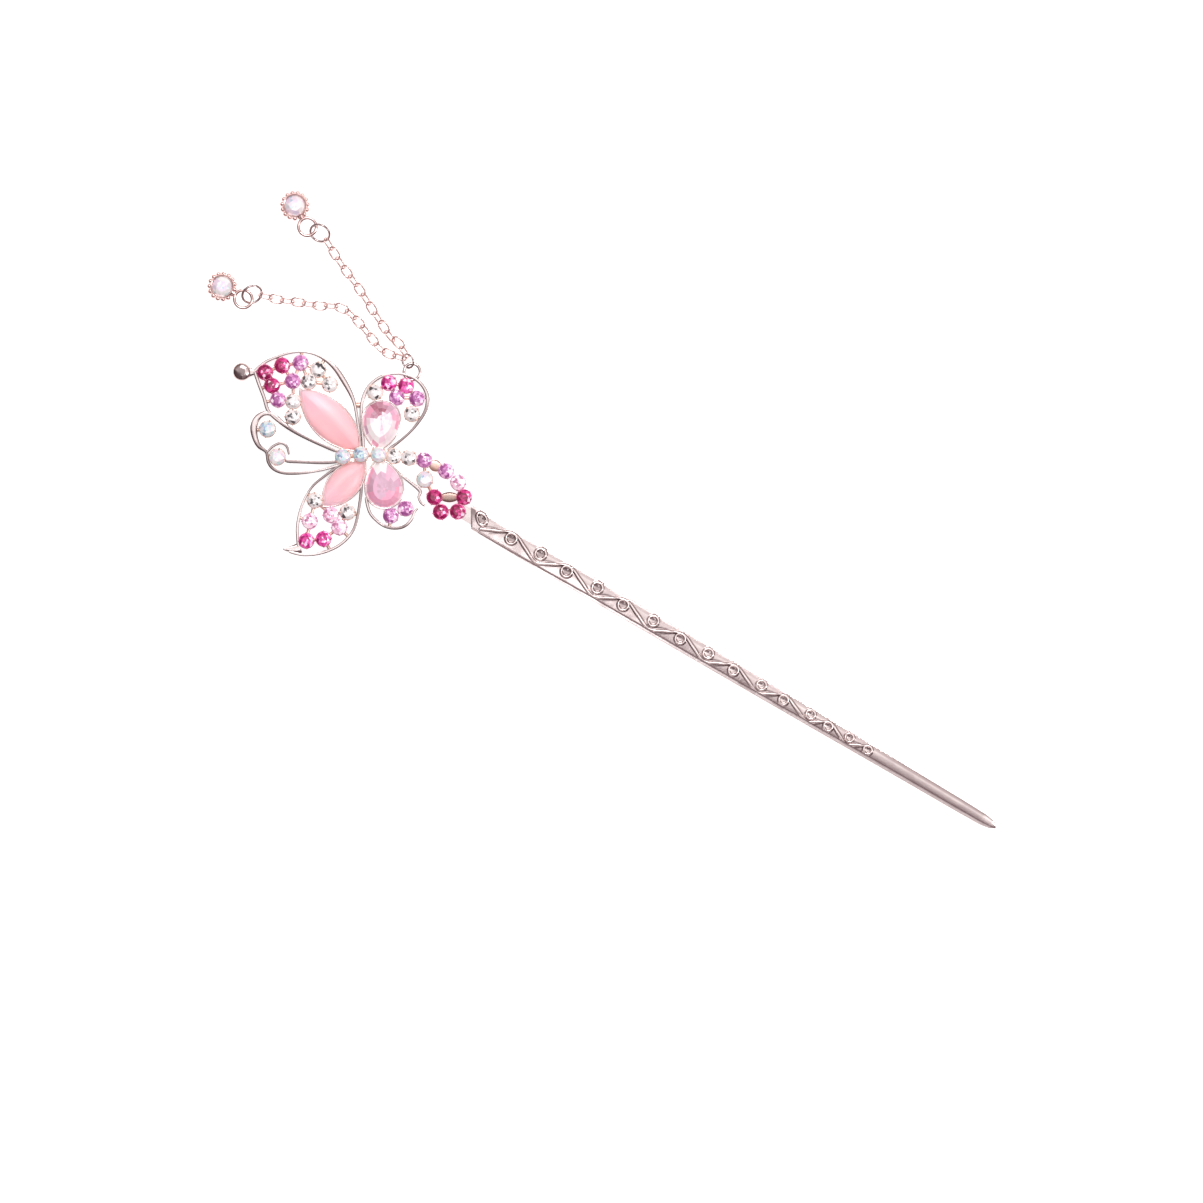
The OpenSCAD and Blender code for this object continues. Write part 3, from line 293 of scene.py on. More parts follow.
feelerBands = {
    "loop": [
        (-11.9, 5.8, 0.7), (-12.32, 6.12, 0.8), (-12.85, 6.6, 0.8), (-13.45, 6.72, 0.9),
        (-13.97, 6.4, 1.2), (-14.2, 5.8, 1.4), (-14.12, 5.13, 1.2), (-13.84, 4.53, 0.9),
        (-13.36, 4.13, 0.6), (-13.23, 3.47, 0.6), (-12.87, 3, 0.6), (-12.25, 2.75, 0.6),
        (-11.39, 2.72, 0.6), (-10.39, 2.81, 0.5), (-9.39, 3.01, 0.5), (-8.39, 3.33, 0.6),
    ],
    "stem": [
        (-12.1, 3.53, 0.7), (-10.92, 3.47, 0.6), (-9.59, 3.43, 0.6), (-8.52, 3.5, 0.6),
    ],
    "brow": [
        (-13.28, 4.13, 0.4), (-12.95, 4.5, 0.5), (-12.39, 4.74, 0.5), (-11.98, 4.5, 0.5),
        (-11.84, 3.95, 0.4),
    ],
}


def acrossFromTip(wing, along, across):
    # a point of a wing: so far along its ray and so far to the left of it
    w = wings[wing]
    along, across = np.asarray(along)[..., None], np.asarray(across)[..., None]
    return pitch * np.array(w["tip"]) + along * ray(w["angle"]) + across * ray(w["angle"] + 90)


def onWing(wing, rows):
    # table rows to points, keeping a thickness if the rows have one
    r = np.asarray(rows, float)
    w = wings[wing]
    along, across = r[:, 0] * w["length"] + r[:, 1] * pitch, r[:, 2] * w["width"] + r[:, 3] * pitch
    return np.hstack([acrossFromTip(wing, along, across), r[:, 4:]])


def stoneOutline(wing, grow, count):
    # two arcs for a pointed oval; two arcs and half a circle for a pear, both grown outwards
    w = wings[wing]
    length, width = w["length"], w["width"]
    t = np.arange(count) / count
    if w["kind"] == "eye":
        radius = (length**2 + width**2) / (4 * width)
        c = radius - width / 2
        a = math.acos(c / (radius + grow)) * np.where(t < 0.5, 4 * t - 1, 3 - 4 * t)
        along = length / 2 + (radius + grow) * np.sin(a)
        across = np.where(t < 0.5, 1, -1) * ((radius + grow) * np.cos(a) - c)
        return along, across
    r = width / 2
    h = length - r
    q = (h * h + r * r) / (2 * r)
    a = math.acos((q - r) / (q + grow))
    u = 4 * t
    tipArc = a * np.where(u < 1, 1 - u, u - 3)
    roundArc = np.radians(90 * (u - 1))
    side = np.where(u < 1, 1, -1)
    isRound = (u >= 1) & (u < 3)
    along = np.where(isRound, h + (r + grow) * np.sin(roundArc), h - (q + grow) * np.sin(tipArc))
    across = np.where(isRound, (r + grow) * np.cos(roundArc), side * ((q + grow) * np.cos(tipArc) - (q - r)))
    return along, across


def outlineRings(wing, rings, count):
    # rings of (share of the outline, height, outward growth) round the stone's middle
    w = wings[wing]
    middle = w["length"] / 2 if w["kind"] == "eye" else w["length"] - w["width"] / 2
    out = []
    for share, height, grow in rings:
        along, across = stoneOutline(wing, grow, count)
        flat = toPart(acrossFromTip(wing, middle + share * (along - middle), share * across))
        out.append(np.hstack([flat, np.full((count, 1), height)]))
    return np.stack(out)


# Materials.

def feed(tree, target, sockets):
    # each socket gets a value, or a link from another node's output
    for key, value in sockets.items():
        if isinstance(value, bpy.types.NodeSocket):
            tree.links.new(value, target.inputs[key])
        else:
            target.inputs[key].default_value = value


def node(tree, kind, sockets=None, **settings):
    # a new node with its settings and sockets
    made = tree.nodes.new(kind)
    for key, value in settings.items():
        setattr(made, key, value)
    feed(tree, made, sockets or {})
    return made


def ramp(tree, factor, stops):
    # colour by a factor, from rows of (place, red, green, blue)
    made = node(tree, "ShaderNodeValToRGB", {"Fac": factor})
    elements = made.color_ramp.elements
    while len(elements) < len(stops):
        elements.new(0.5)
    for element, (stop, *colour) in zip(elements, stops):
        element.position = stop
        element.color = (*colour, 1)
    return made.outputs["Color"]


def mapRange(tree, value, limits):
    # a value stretched evenly from one range to another
    return node(tree, "ShaderNodeMapRange", {"Value": value, **limits}).outputs["Result"]


def mixed(tree, factor, first, second, blend="MIX"):
    # two colours mixed or multiplied, by a factor
    sockets = {0: factor, 6: first, 7: second}
    return node(tree, "ShaderNodeMix", sockets, data_type="RGBA", blend_type=blend).outputs[2]


def newGroup(name, inputs, outputs):
    # a group that takes numbers, with their usual values, and gives numbers
    group = bpy.data.node_groups.new(name, "ShaderNodeTree")
    for label, value in inputs.items():
        group.interface.new_socket(label, in_out="INPUT", socket_type="NodeSocketFloat").default_value = value
    for label in outputs:
        group.interface.new_socket(label, in_out="OUTPUT", socket_type="NodeSocketFloat")
    return group, group.nodes.new("NodeGroupInput").outputs, group.nodes.new("NodeGroupOutput")


def makeCastFinish():
    # blotches and fine pits of a plated casting: noise at two scales on Object coordinates
    usual = {"Blotch Scale": 300.0, "Pit Scale": 2500.0, "Roughness Low": 0.06, "Roughness High": 0.2}
    group, given, result = newGroup("castFinish", usual, ("Mask", "Roughness", "Height"))
    spot = node(group, "ShaderNodeTexCoord").outputs["Object"]
    blotch = node(group, "ShaderNodeTexNoise", {
        "Vector": spot, "Scale": given["Blotch Scale"], "Detail": 4.0, "Roughness": 0.6}).outputs["Fac"]
    pits = node(group, "ShaderNodeTexNoise", {
        "Vector": spot, "Scale": given["Pit Scale"], "Detail": 2.0, "Roughness": 0.5}).outputs["Fac"]
    mask = mapRange(group, blotch, {"From Min": 0.35, "From Max": 0.65})
    rough = mapRange(group, mask, {"To Min": given["Roughness Low"], "To Max": given["Roughness High"]})
    feed(group, result, {"Mask": mask, "Roughness": rough, "Height": pits})
    return group


def makeFacetShade():
    # facet's tone, which holds painted glints and painted shade, + cloud * (noise - 0.5), so that no facet is
    # one flat colour
    group, given, result = newGroup("facetShade", {"Cloud Scale": 900.0, "Cloud": 0.16}, ("Tone", "Roughness"))
    tone = node(group, "ShaderNodeAttribute", attribute_name="tone").outputs["Fac"]
    spot = node(group, "ShaderNodeTexCoord").outputs["Object"]
    cloud = node(group, "ShaderNodeTexNoise", {
        "Vector": spot, "Scale": given["Cloud Scale"], "Detail": 1.0}).outputs["Fac"]
    centred = node(group, "ShaderNodeMath", {0: cloud, 1: 0.5}, operation="SUBTRACT").outputs[0]
    total = node(group, "ShaderNodeMath", {0: centred, 1: given["Cloud"], 2: tone}, operation="MULTIPLY_ADD",
                 use_clamp=True).outputs[0]
    rough = mapRange(group, cloud, {"To Min": 0.03, "To Max": 0.09})
    feed(group, result, {"Tone": total, "Roughness": rough})
    return group


castFinish, facetShade = makeCastFinish(), makeFacetShade()


def newMaterial(name):
    # a material with its node tree and its shader
    material = bpy.data.materials.new(name)
    material.use_nodes = True
    return material, material.node_tree, material.node_tree.nodes["Principled BSDF"]


# painted shade: a factor on the metal's colour for each face's tone, darkest at 0, none from 0.5 up
paintedShadeStops = [(0, 0.15, 0.115, 0.12), (0.1, 0.27, 0.23, 0.235), (0.2, 0.41, 0.37, 0.375),
               (0.3, 0.57, 0.53, 0.535), (0.4, 0.77, 0.74, 0.74), (0.5, 1, 1, 1)]


def metalMaterial(name, light, dark, scales, roughness, metallic=1.0):
    # two tints by the casting's blotches, darkened by each face's tone, which holds painted shade, with fine
    # pits
    material, tree, shader = newMaterial(name)
    group = node(tree, "ShaderNodeGroup", node_tree=castFinish)
    labels = ("Blotch Scale", "Pit Scale", "Roughness Low", "Roughness High")
    feed(tree, group, dict(zip(labels, scales + roughness)))
    finish = group.outputs
    tone = node(tree, "ShaderNodeAttribute", attribute_name="tone").outputs["Fac"]
    tint = mixed(tree, finish["Mask"], (*light, 1), (*dark, 1))
    bump = node(tree, "ShaderNodeBump", {"Height": finish["Height"], "Strength": 0.25, "Distance": 0.00002})
    feed(tree, shader, {
        "Base Color": mixed(tree, 1.0, tint, ramp(tree, tone, paintedShadeStops), "MULTIPLY"),
        "Roughness": finish["Roughness"], "Normal": bump.outputs["Normal"], "Metallic": metallic})
    return material


def glassMaterial(name, stops, glow=0.28, foil=0.15, coat=0.35):
    # foiled cut glass: colours by facet tone, which holds painted glints and shade, sent out again as a painted
    # glow, under a clear coat
    material, tree, shader = newMaterial(name)
    shade = node(tree, "ShaderNodeGroup", node_tree=facetShade).outputs
    colours = ramp(tree, shade["Tone"], stops)
    feed(tree, shader, {
        "Base Color": colours, "Emission Color": colours, "Emission Strength": glow, "Metallic": foil,
        "Roughness": shade["Roughness"], "IOR": 1.6, "Coat Weight": coat, "Coat Roughness": 0.03})
    return material


# metals: light and dark tint, scales of blotches and pits, roughness from and to, metallic
roseMetal = metalMaterial("roseMetal", (0.94, 0.88, 0.86), (0.85, 0.77, 0.76), (260.0, 2600.0), (0.07, 0.2))
chainMetal = metalMaterial("chainMetal", (0.96, 0.78, 0.75), (0.83, 0.61, 0.58), (500.0, 3000.0), (0.08, 0.22))
# cup metals with a painted reflection of the stones beside them: peach, magenta or lilac
reflectionTintedMetals = {
    name: metalMaterial(name + "Metal", light, dark, (scale, 2600.0), (0.2, 0.35), 0.6)
    for name, light, dark, scale in (("peach", (0.96, 0.81, 0.72), (0.90, 0.60, 0.49), 420.0),
                                     ("magenta", (0.93, 0.38, 0.58), (0.72, 0.16, 0.36), 600.0),
                                     ("lilac", (0.95, 0.72, 0.86), (0.82, 0.5, 0.72), 600.0))}
# ramps from the darkest facet to white, whose light end paints glints; the first number after a ramp is its
# painted glow
glass = {
    "deepFuchsia": glassMaterial("deepFuchsiaGlass", [
        (0, 0.16, 0.003, 0.04), (0.4, 0.50, 0.015, 0.16), (0.72, 0.84, 0.10, 0.38), (1, 1.0, 0.75, 0.88)]),
    "fuchsia": glassMaterial("fuchsiaGlass", [
        (0, 0.30, 0.008, 0.12), (0.4, 0.72, 0.04, 0.33), (0.72, 0.93, 0.22, 0.60), (1, 1.0, 0.85, 0.95)]),
    "lilac": glassMaterial("lilacGlass", [
        (0, 0.30, 0.07, 0.25), (0.4, 0.66, 0.27, 0.58), (0.72, 0.84, 0.52, 0.76), (1, 0.99, 0.92, 0.99)]),
    "palePink": glassMaterial("palePinkGlass", [
        (0, 0.42, 0.14, 0.28), (0.4, 0.86, 0.50, 0.68), (0.72, 0.97, 0.76, 0.88), (1, 1.0, 0.97, 1.0)]),
    "clear": glassMaterial("clearGlass", [
        (0, 0.06, 0.06, 0.065), (0.22, 0.30, 0.29, 0.30), (0.45, 0.80, 0.79, 0.80), (1, 1.0, 1.0, 1.0)], 0.1),
    "opal": glassMaterial("opalGlass", [
        (0, 0.22, 0.30, 0.44), (0.16, 0.40, 0.60, 0.80), (0.34, 0.62, 0.86, 0.84), (0.5, 0.84, 0.88, 0.90),
        (0.64, 0.80, 0.70, 0.90), (0.78, 0.96, 0.84, 0.90), (0.9, 1.0, 1.0, 1.0)], 0.08),
    "rose": glassMaterial("roseGlass", [
        (0, 0.20, 0.05, 0.09), (0.2, 0.45, 0.14, 0.21), (0.35, 0.62, 0.38, 0.48), (0.5, 0.74, 0.49, 0.64),
        (0.62, 0.86, 0.44, 0.62), (0.72, 0.92, 0.40, 0.56), (0.84, 0.94, 0.60, 0.75), (1, 1.0, 0.99, 0.99)],
        0.1, 0.1, 0.12),
}


def catEyeMaterial():
    # coral glass with a painted sheen as a pale band down its length, and a painted glow: colour across the
    # stone, fibres along it
    material, tree, shader = newMaterial("catEyeGlass")
    uv = node(tree, "ShaderNodeUVMap", uv_map="UVMap").outputs["UV"]
    stretched = node(tree, "ShaderNodeMapping", {"Vector": uv, "Scale": (2.0, 60.0, 1.0)}).outputs["Vector"]
    fibres = node(tree, "ShaderNodeTexNoise", {"Vector": stretched, "Scale": 1.0, "Detail": 3.0}).outputs["Fac"]
    split = node(tree, "ShaderNodeSeparateXYZ", {"Vector": uv}).outputs
    wobble = node(tree, "ShaderNodeMath", {0: fibres, 1: 0.09, 2: split["Y"]}, operation="MULTIPLY_ADD")
    # painted sheen: paler across the middle of the stone
    across = ramp(tree, wobble.outputs[0], [
        (0.03, 0.85, 0.62, 0.66), (0.22, 0.87, 0.64, 0.69), (0.38, 0.89, 0.70, 0.74),
        (0.52, 0.87, 0.62, 0.67), (0.66, 0.88, 0.63, 0.68), (0.82, 0.92, 0.69, 0.73),
        (1, 0.92, 0.66, 0.70)])
    drift = ramp(tree, split["X"], [
        (0, 0.98, 0.72, 0.72), (0.3, 0.98, 0.80, 0.80), (0.55, 0.98, 0.85, 0.85), (0.8, 0.97, 0.88, 0.91),
        (1, 0.97, 0.90, 0.93)])
    colour = mixed(tree, 1.0, across, drift, "MULTIPLY")
    rough = mapRange(tree, fibres, {"To Min": 0.3, "To Max": 0.45})
    # the stone's colour sent out again as a painted glow
    feed(tree, shader, {
        "Base Color": colour, "Emission Color": colour, "Emission Strength": 0.22, "Roughness": rough,
        "Coat Weight": 0.2, "Coat Roughness": 0.2,
        "Subsurface Weight": 1.0, "Subsurface Scale": 0.004, "Subsurface Radius": (1.0, 0.7, 0.7)})
    return material


catEye = catEyeMaterial()
print("stage: materials")


# Wing bands: flat strips stood on edge with a rounded back, like half-round wire.

# tones: painted shade on the rim, the flank and the back of the wires
bandLook = {"height": 1.6, "neckHeight": 1.28, "browHeight": 2.0, "shoulder": 0.5, "power": 0.62, "samples": 11,
            "foot": 0.12, "footShare": 0.82, "flank": 0.45, "rim": 0.75, "tones": (0.18, 0.32, 0.43)}
steady = ((0, 1), (1, 1))
bandFades = {  # shares of the length and factors on the tone, painted shade where the photo's wires turn dark
    ("upperLeft", "side"): ((0, 0.56, 0.64, 1), (1, 1, 0.3, 0.3)),
    ("upperRight", "edge"): ((0, 0.7, 0.76, 0.96, 1), (1, 1, 0.5, 0.5, 1)),
    ("lowerLeft", "edge"): ((0, 0.06, 0.1, 0.42, 0.5, 1), (1, 1, 0.5, 0.5, 1, 1)),
    ("lowerLeft", "side"): ((0, 0.6, 0.7, 1), (1, 1, 0.5, 0.5)),
    ("lowerRight", "edge"): ((0, 0.3, 0.36, 0.62, 0.7, 1), (1, 1, 0.35, 0.35, 1, 1)),
    ("feeler", "loop"): ((0, 0.42, 0.48, 0.8, 0.88, 1), (1, 1, 0.4, 0.3, 0.9, 1)),
}
# painted shade on the feeler wires: tones of their rim, flank and back
feelerTones = {"loop": (0.14, 0.3, 0.44), "stem": (0.05, 0.1, 0.16), "brow": (0.1, 0.2, 0.3)}


def bandProfile(width, height):
    # straight sides up to a squarish dome: side = w/2 cos(a)^p and rise = d sin(a)^p
    half = np.asarray(width, float)[:, None] / 2
    dome = bandLook["shoulder"] * half
    a = np.linspace(0, math.pi, bandLook["samples"])[None]
    side = -half * np.sign(np.cos(a)) * np.abs(np.cos(a)) ** bandLook["power"]
    up = height - dome + dome * np.sin(a).clip(0) ** bandLook["power"]
    foot, level = bandLook["footShare"] * half, np.full_like(half, bandLook["foot"])
    sides = np.concatenate([side, half, foot, -foot, -half], 1)
    ups = np.concatenate([up, level, 0 * level, 0 * level, level], 1)
    return np.stack([sides, ups], -1)


def band(shape, rows, height, steps=6, tones=bandLook["tones"], fade=steady):
    # painted shade as tones of the rim, the flank and the back of the wire, times a fade along it
    curve = smoothPath(rows, steps)
    ends = np.minimum(np.arange(len(curve)), np.arange(len(curve))[::-1])
    width = curve[:, 2] * np.where(ends == 0, 0.5, np.where(ends == 1, 0.86, 1))  # rounded ends
    path = np.hstack([toPart(curve[:, :2]), np.zeros((len(curve), 1))])
    profile = bandProfile(width, height)
    middle = 0.5 * (profile[2] + np.roll(profile[2], -1, 0))
    reach = np.abs(middle[:, 0]) / (width[2] / 2)
    rim, flank, back = tones
    across = np.where(reach > bandLook["rim"], rim, np.where(reach > bandLook["flank"], flank, back))
    along = np.interp(np.linspace(0, 1, len(curve) - 1), *fade)
    sweep(shape, path, profile, np.append(np.outer(along, across), (back, back)))


wingBands = Shape()
for (wing, part), rows in wingEdges.items():
    tall = bandLook["neckHeight" if part == "neck" else "height"]
    band(wingBands, onWing(wing, rows), tall, fade=bandFades.get((wing, part), steady))
for part, rows in feelerBands.items():
    tall = bandLook["browHeight" if part == "brow" else "height"]
    band(wingBands, np.array(rows) * (pitch, pitch, 1), tall, tones=feelerTones[part],
         fade=bandFades.get(("feeler", part), steady))


# Claw cups for the small stones, and the bars that join them.

stoneLook = {"diameter": 3.0, "opal": 3.2, "crown": 0.5, "pavilion": 1.2, "girdle": 0.12, "heart": 0.3,
             "table": 0.56, "mid": 0.8, "midRise": 0.6, "turn": 11.0}
cupLook = {"wall": 0.12, "base": 0.3, "girdle": 2.0, "lift": 1.0, "hole": 0.6, "slope": 0.4,
           "clawRadius": 0.15, "clawShape": (1.1, 0.9), "barInside": 0.35, "apart": 1.9, "between": 1.45,
           "toEdge": 0.9}
# claws: (out from the stone's edge, height over the girdle, share of the thickness)
clawRows = np.array([(0.16, -0.75, 0.8), (0.14, -0.2, 1), (0.1, 0.2, 1), (0.04, 0.38, 0.9),
                     (-0.08, 0.45, 0.75), (-0.18, 0.42, 0.3)])


def cup(shape, centre, diameter, girdle, turn):
    # turned ring under the girdle, then four claws bent inwards over the stone's edge
    r = diameter / 2
    outer, hole, base = r + cupLook["wall"], cupLook["hole"] * r, cupLook["base"]
    x, y = toPart(centre)
    lathe(shape, [
        (hole, base), (outer - 0.42, base), (outer - 0.3, base + 0.12), (outer - 0.03, base + 0.66),
        (outer, base + 0.8), (outer, girdle - 0.1), (outer - 0.05, girdle + 0.02),
        (outer - 0.13, girdle + 0.06), (r + 0.03, girdle + 0.05), (r + 0.01, girdle - 0.06),
        (hole, girdle - cupLook["slope"] * stoneLook["pavilion"] - 0.14)], (x, y, 0))
    reach = r + clawRows[:, 0]
    profile = wireProfile(8) * cupLook["clawRadius"] * clawRows[:, 2, None, None] * cupLook["clawShape"]
    for k in range(4):
        c, s = ray(bodyTurn + turn + 45 + 90 * k)
        sweep(shape, np.stack([x + reach * c, y + reach * s, girdle + clawRows[:, 1]], -1), profile)


def bar(shape, a, b, width=0.7, low=0.45, high=1.2):
    # short rounded bar between two places
    a, b = toPart(a), toPart(b)
    path = np.hstack([[a, 0.5 * (a + b), b], np.full((3, 1), 0.5 * (low + high))])
    sweep(shape, path, 0.5 * wireProfile() * (width, high - low))


cups = {"peach": Shape(), "magenta": Shape(), "lilac": Shape()}
reflectionTintOf = {"clear": "peach", "lilac": "lilac", "palePink": "lilac", "fuchsia": "magenta",
            "deepFuchsia": "magenta"}  # painted reflection: each cup's metal takes a tint of its stone's colour
bars = cups["peach"]
cupRadius = stoneLook["diameter"] / 2 + cupLook["wall"]
cupReach = cupRadius - cupLook["barInside"]
for wing in wings:
    tables = wingStones[wing]
    for colour, rows in tables.items():
        for p in onWing(wing, rows):
            cup(cups[reflectionTintOf[colour]], p, stoneLook["diameter"], cupLook["girdle"], wings[wing]["angle"])
    places = onWing(wing, [row for rows in tables.values() for row in rows])
    # bars between cups that stand clear of each other, and from a cup to an edge band beside it
    for a, b in itertools.combinations(places, 2):
        if cupLook["apart"] * cupRadius < np.linalg.norm(a - b) < cupLook["between"] * pitch:
            bar(bars, towards(a, b, cupReach), towards(b, a, cupReach))
    for (owner, part), rows in wingEdges.items():
        if owner == wing and part not in ("lip", "neck"):
            edge = smoothPath(onWing(wing, rows), 3)[:, :2]
            for p in places:
                nearest = nearestOn(edge, p)
                if cupRadius < np.linalg.norm(nearest - p) < cupLook["toEdge"] * pitch:
                    bar(bars, towards(p, nearest, cupReach), nearest)

bodyPlaces, tailPlaces, feelerPlaces, (curlPlace,) = (pitch * np.array(rows) for rows in rowPlaces.values())
for p in bodyPlaces:
    cup(bars, p, stoneLook["diameter"], cupLook["girdle"] + cupLook["lift"], 0)
bar(bars, bodyPlaces[0], bodyPlaces[-1])
blockEnds = (onWing("upperLeft", wingEdges["upperLeft", "edge"][2:3])[0, :2],
             onWing("upperRight", wingEdges["upperRight", "edge"][3:4])[0, :2])
bar(bars, *blockEnds, 1.1, 0.3, 1.5)
tailColours = ["clear", "clear", "lilac", "lilac", "palePink"] + 4 * ["deepFuchsia"]
for p, (dx, dy), colour in zip(tailPlaces, np.gradient(tailPlaces, axis=0), tailColours):
    cup(cups[reflectionTintOf[colour]], p, stoneLook["diameter"], cupLook["girdle"], math.degrees(math.atan2(dy, dx)))
for p, turn in zip((*feelerPlaces, curlPlace), (30, 30, 20)):
    cup(bars, p, stoneLook["opal"], cupLook["girdle"], turn)
loop = smoothPath(np.array(feelerBands["loop"]) * (pitch, pitch, 1), 3)[:, :2]
for p in feelerPlaces:
    bar(bars, towards(p, nearestOn(loop, p), cupReach), nearestOn(loop, p))
# plates between cups of the tail: numbers of the stones, width, tones of painted shade
for i, j, width, tones in ((2, 3, 2.2, (0.3, 0.42, 0.46)), (5, 8, 1.9, (0.1, 0.22, 0.28))):
    a, b = tailPlaces[i], tailPlaces[j]
    start, end = towards(a, b, cupReach), towards(b, a, cupReach)
    rows = [(*start, 0.7 * width), (*(0.5 * (start + end)), 1.1 * width), (*end, 0.7 * width)]
    band(bars, rows, cupLook["girdle"] - 0.2, 5, tones=tones)
for other in (tailPlaces[2], tailPlaces[8]):
    bar(bars, towards(curlPlace, other, cupReach + 0.2), towards(other, curlPlace, cupReach))


# Bezels round the large stones: one profile of (growth, height) carried round each outline.

bezelLook = {"gap": 0.06, "wall": 0.35, "eyeLedge": 0.89, "eyeTop": 1.79, "pearLedge": 1.65, "pearTop": 2.5,
             "ledge": 0.45}
bezels = Shape()
for wing in wings:
    kind = wings[wing]["kind"]
    top, ledge = bezelLook[kind + "Top"], bezelLook[kind + "Ledge"]
    inside, outside, lip = bezelLook["gap"], bezelLook["gap"] + bezelLook["wall"], -bezelLook["ledge"]
    profile = [(outside - 0.05, 0), (outside, 0.08), (outside, top - 0.14), (outside - 0.05, top - 0.04),
               (outside - 0.14, top), (inside + 0.06, top - 0.02), (inside, top - 0.1), (inside, ledge),
               (lip, ledge), (lip, 0)]
    bezels.grid(outlineRings(wing, [(1, height, grow) for grow, height in profile], 96), True, True)


# Button and eyelet.

buttonLook = {"at": (1, 3.66, 0.5, 0.81), "radius": 1.85, "half": 0.9, "power": 0.6, "rim": 0.86,
              "rimTone": 0.46, "shadedSideTone": 0.17, "litSideTone": 0.44, "capTones": (0.3, 0.14)}
eyeletLook = {"at": (1, 2.17, -0.5, -0.49), "mean": 1.62, "wire": 0.31, "bail": 1.4, "bailWire": 0.2,
              "bailTilt": 40, "bailTurn": 111.7}
buttonPlace = toPart(onWing("upperLeft", [buttonLook["at"]])[0])
fittings = Shape()
a = np.linspace(-math.pi / 2, math.pi / 2, 15)[1:-1]
radius, rise = buttonLook["radius"] * np.cos(a) ** buttonLook["power"], buttonLook["half"] * np.sin(a)
away = np.cos(around(48) - math.radians(studio["pictureTurn"])) < 0  # the side away from the picture's right, in painted shade
# painted light and shade on the button: darker away from the picture's right, lighter towards it, with tones on
# rim and caps
buttonTone = np.where(away, buttonLook["shadedSideTone"], buttonLook["litSideTone"])
rim = radius[1:, None] > buttonLook["rim"] * buttonLook["radius"]
buttonTone = np.where(rim, buttonLook["rimTone"], buttonTone)
buttonTone = np.append(buttonTone, buttonLook["capTones"])
lathe(fittings, np.stack([radius, rise], -1), (*buttonPlace, buttonLook["half"]), 48, buttonTone, False)
eyeletPlace = onWing("upperRight", [eyeletLook["at"]])[0]
eyeletHeight = eyeletLook["bail"] * ray(eyeletLook["bailTilt"])[1] + eyeletLook["bailWire"] + 0.05
torus(fittings, (*toPart(eyeletPlace), eyeletHeight), eyeletLook["mean"], eyeletLook["wire"])
print("stage: butterfly metal")


# Stick: a grid along and across, raised by the vine's ribs and curls.

stickLook = {"length": 123.0, "width": 4.4, "thickness": 2.0, "vineLength": 96.0, "ribWidth": 0.7,
             "ribHeight": 0.34, "curl": 2.7, "curlWire": 0.55, "crown": 0.16, "apex": 0.42, "rows": 1400,
             "rootSlant": 0.6, "hollow": 0.1, "bevel": 0.11, "rootReach": 0.5}
# tones of painted light and shade on the stick: raised lines, rib feet, bevel, sides, upper rim, darkest, root,
# end caps, hooks in the curls
stickTone = {"raised": 0.5, "foot": 0.22, "bevel": 0.3, "side": 0.5, "outline": 0.12, "darkest": 0.03,
             "root": 0.7, "capTones": (0.44, 0.5), "hook": 0.24}
# places x and what holds there: the painted shade inside the curls, the share of painted shade on their hooks,
# and of the painted shade on the upper rim
stickRuns = {"curls": ((30, 48), (0.24, 0.43)), "hooks": ((36, 46), (0, 1)), "rim": ((94, 98), (0, 1))}
# (share of length, share of width, share of thickness)
stickSections = np.array([
    (0.012, 0.97, 1), (0.16, 1, 1), (0.49, 0.87, 1), (0.65, 0.78, 1), (0.8, 0.67, 0.95), (0.93, 0.6, 0.8),
    (0.975, 0.54, 0.7), (0.991, 0.4, 0.6), (1, 0.14, 0.4),
])
curlShares = np.array([
    0.035, 0.106, 0.175, 0.24, 0.3125, 0.377, 0.448, 0.515, 0.581, 0.644, 0.71, 0.765, 0.829, 0.873,
    0.923, 0.969,
])
# (x, share of the half width that the ledge takes)
ledgeShares = np.array([(1.5, 0.06), (14, 0.14), (30, 0.25), (50, 0.29), (74, 0.39), (98, 0.49), (123, 0.52)])
# thin lines of painted shade on each flat stretch: (drop below the rib, from, to as shares of it, depth of
# shade, half width)
flatLines = ((-0.56, 0.08, 0.9, 1.5, 0.15), (0.04, 0.2, 0.86, 0.5, 0.09), (0.8, 0.34, 0.9, 1.1, 0.1))
# painted light and shade of the ground: a tone at each share of the half width, for a few places along the
# stick
groundShares = np.array([-0.6, -0.2, 0.15, 0.45, 0.7, 0.95])
groundTones = np.array([
    (0, 0.5, 0.46, 0.4, 0.38, 0.37, 0.31), (14, 0.48, 0.42, 0.38, 0.38, 0.37, 0.31),
    (34, 0.38, 0.4, 0.36, 0.38, 0.36, 0.29), (48, 0.33, 0.35, 0.36, 0.39, 0.36, 0.31),
    (66, 0.34, 0.37, 0.38, 0.4, 0.37, 0.33), (80, 0.4, 0.43, 0.39, 0.42, 0.36, 0.34),
    (92, 0.36, 0.38, 0.37, 0.41, 0.35, 0.34), (98, 0.35, 0.35, 0.34, 0.38, 0.28, 0.3),
    (118, 0.35, 0.35, 0.34, 0.38, 0.28, 0.3), (119.4, 0.36, 0.36, 0.36, 0.4, 0.3, 0.2),
    (120.4, 0.5, 0.5, 0.5, 0.5, 0.5, 0.25), (122.3, 0.5, 0.5, 0.5, 0.5, 0.5, 0.25),
    (123, 0.42, 0.42, 0.42, 0.42, 0.42, 0.25),
])


def localHalf(x):
    # half the width of the stick at x
    return stickLook["width"] / 2 * np.interp(x / stickLook["length"], stickSections[:, 0], stickSections[:, 1])


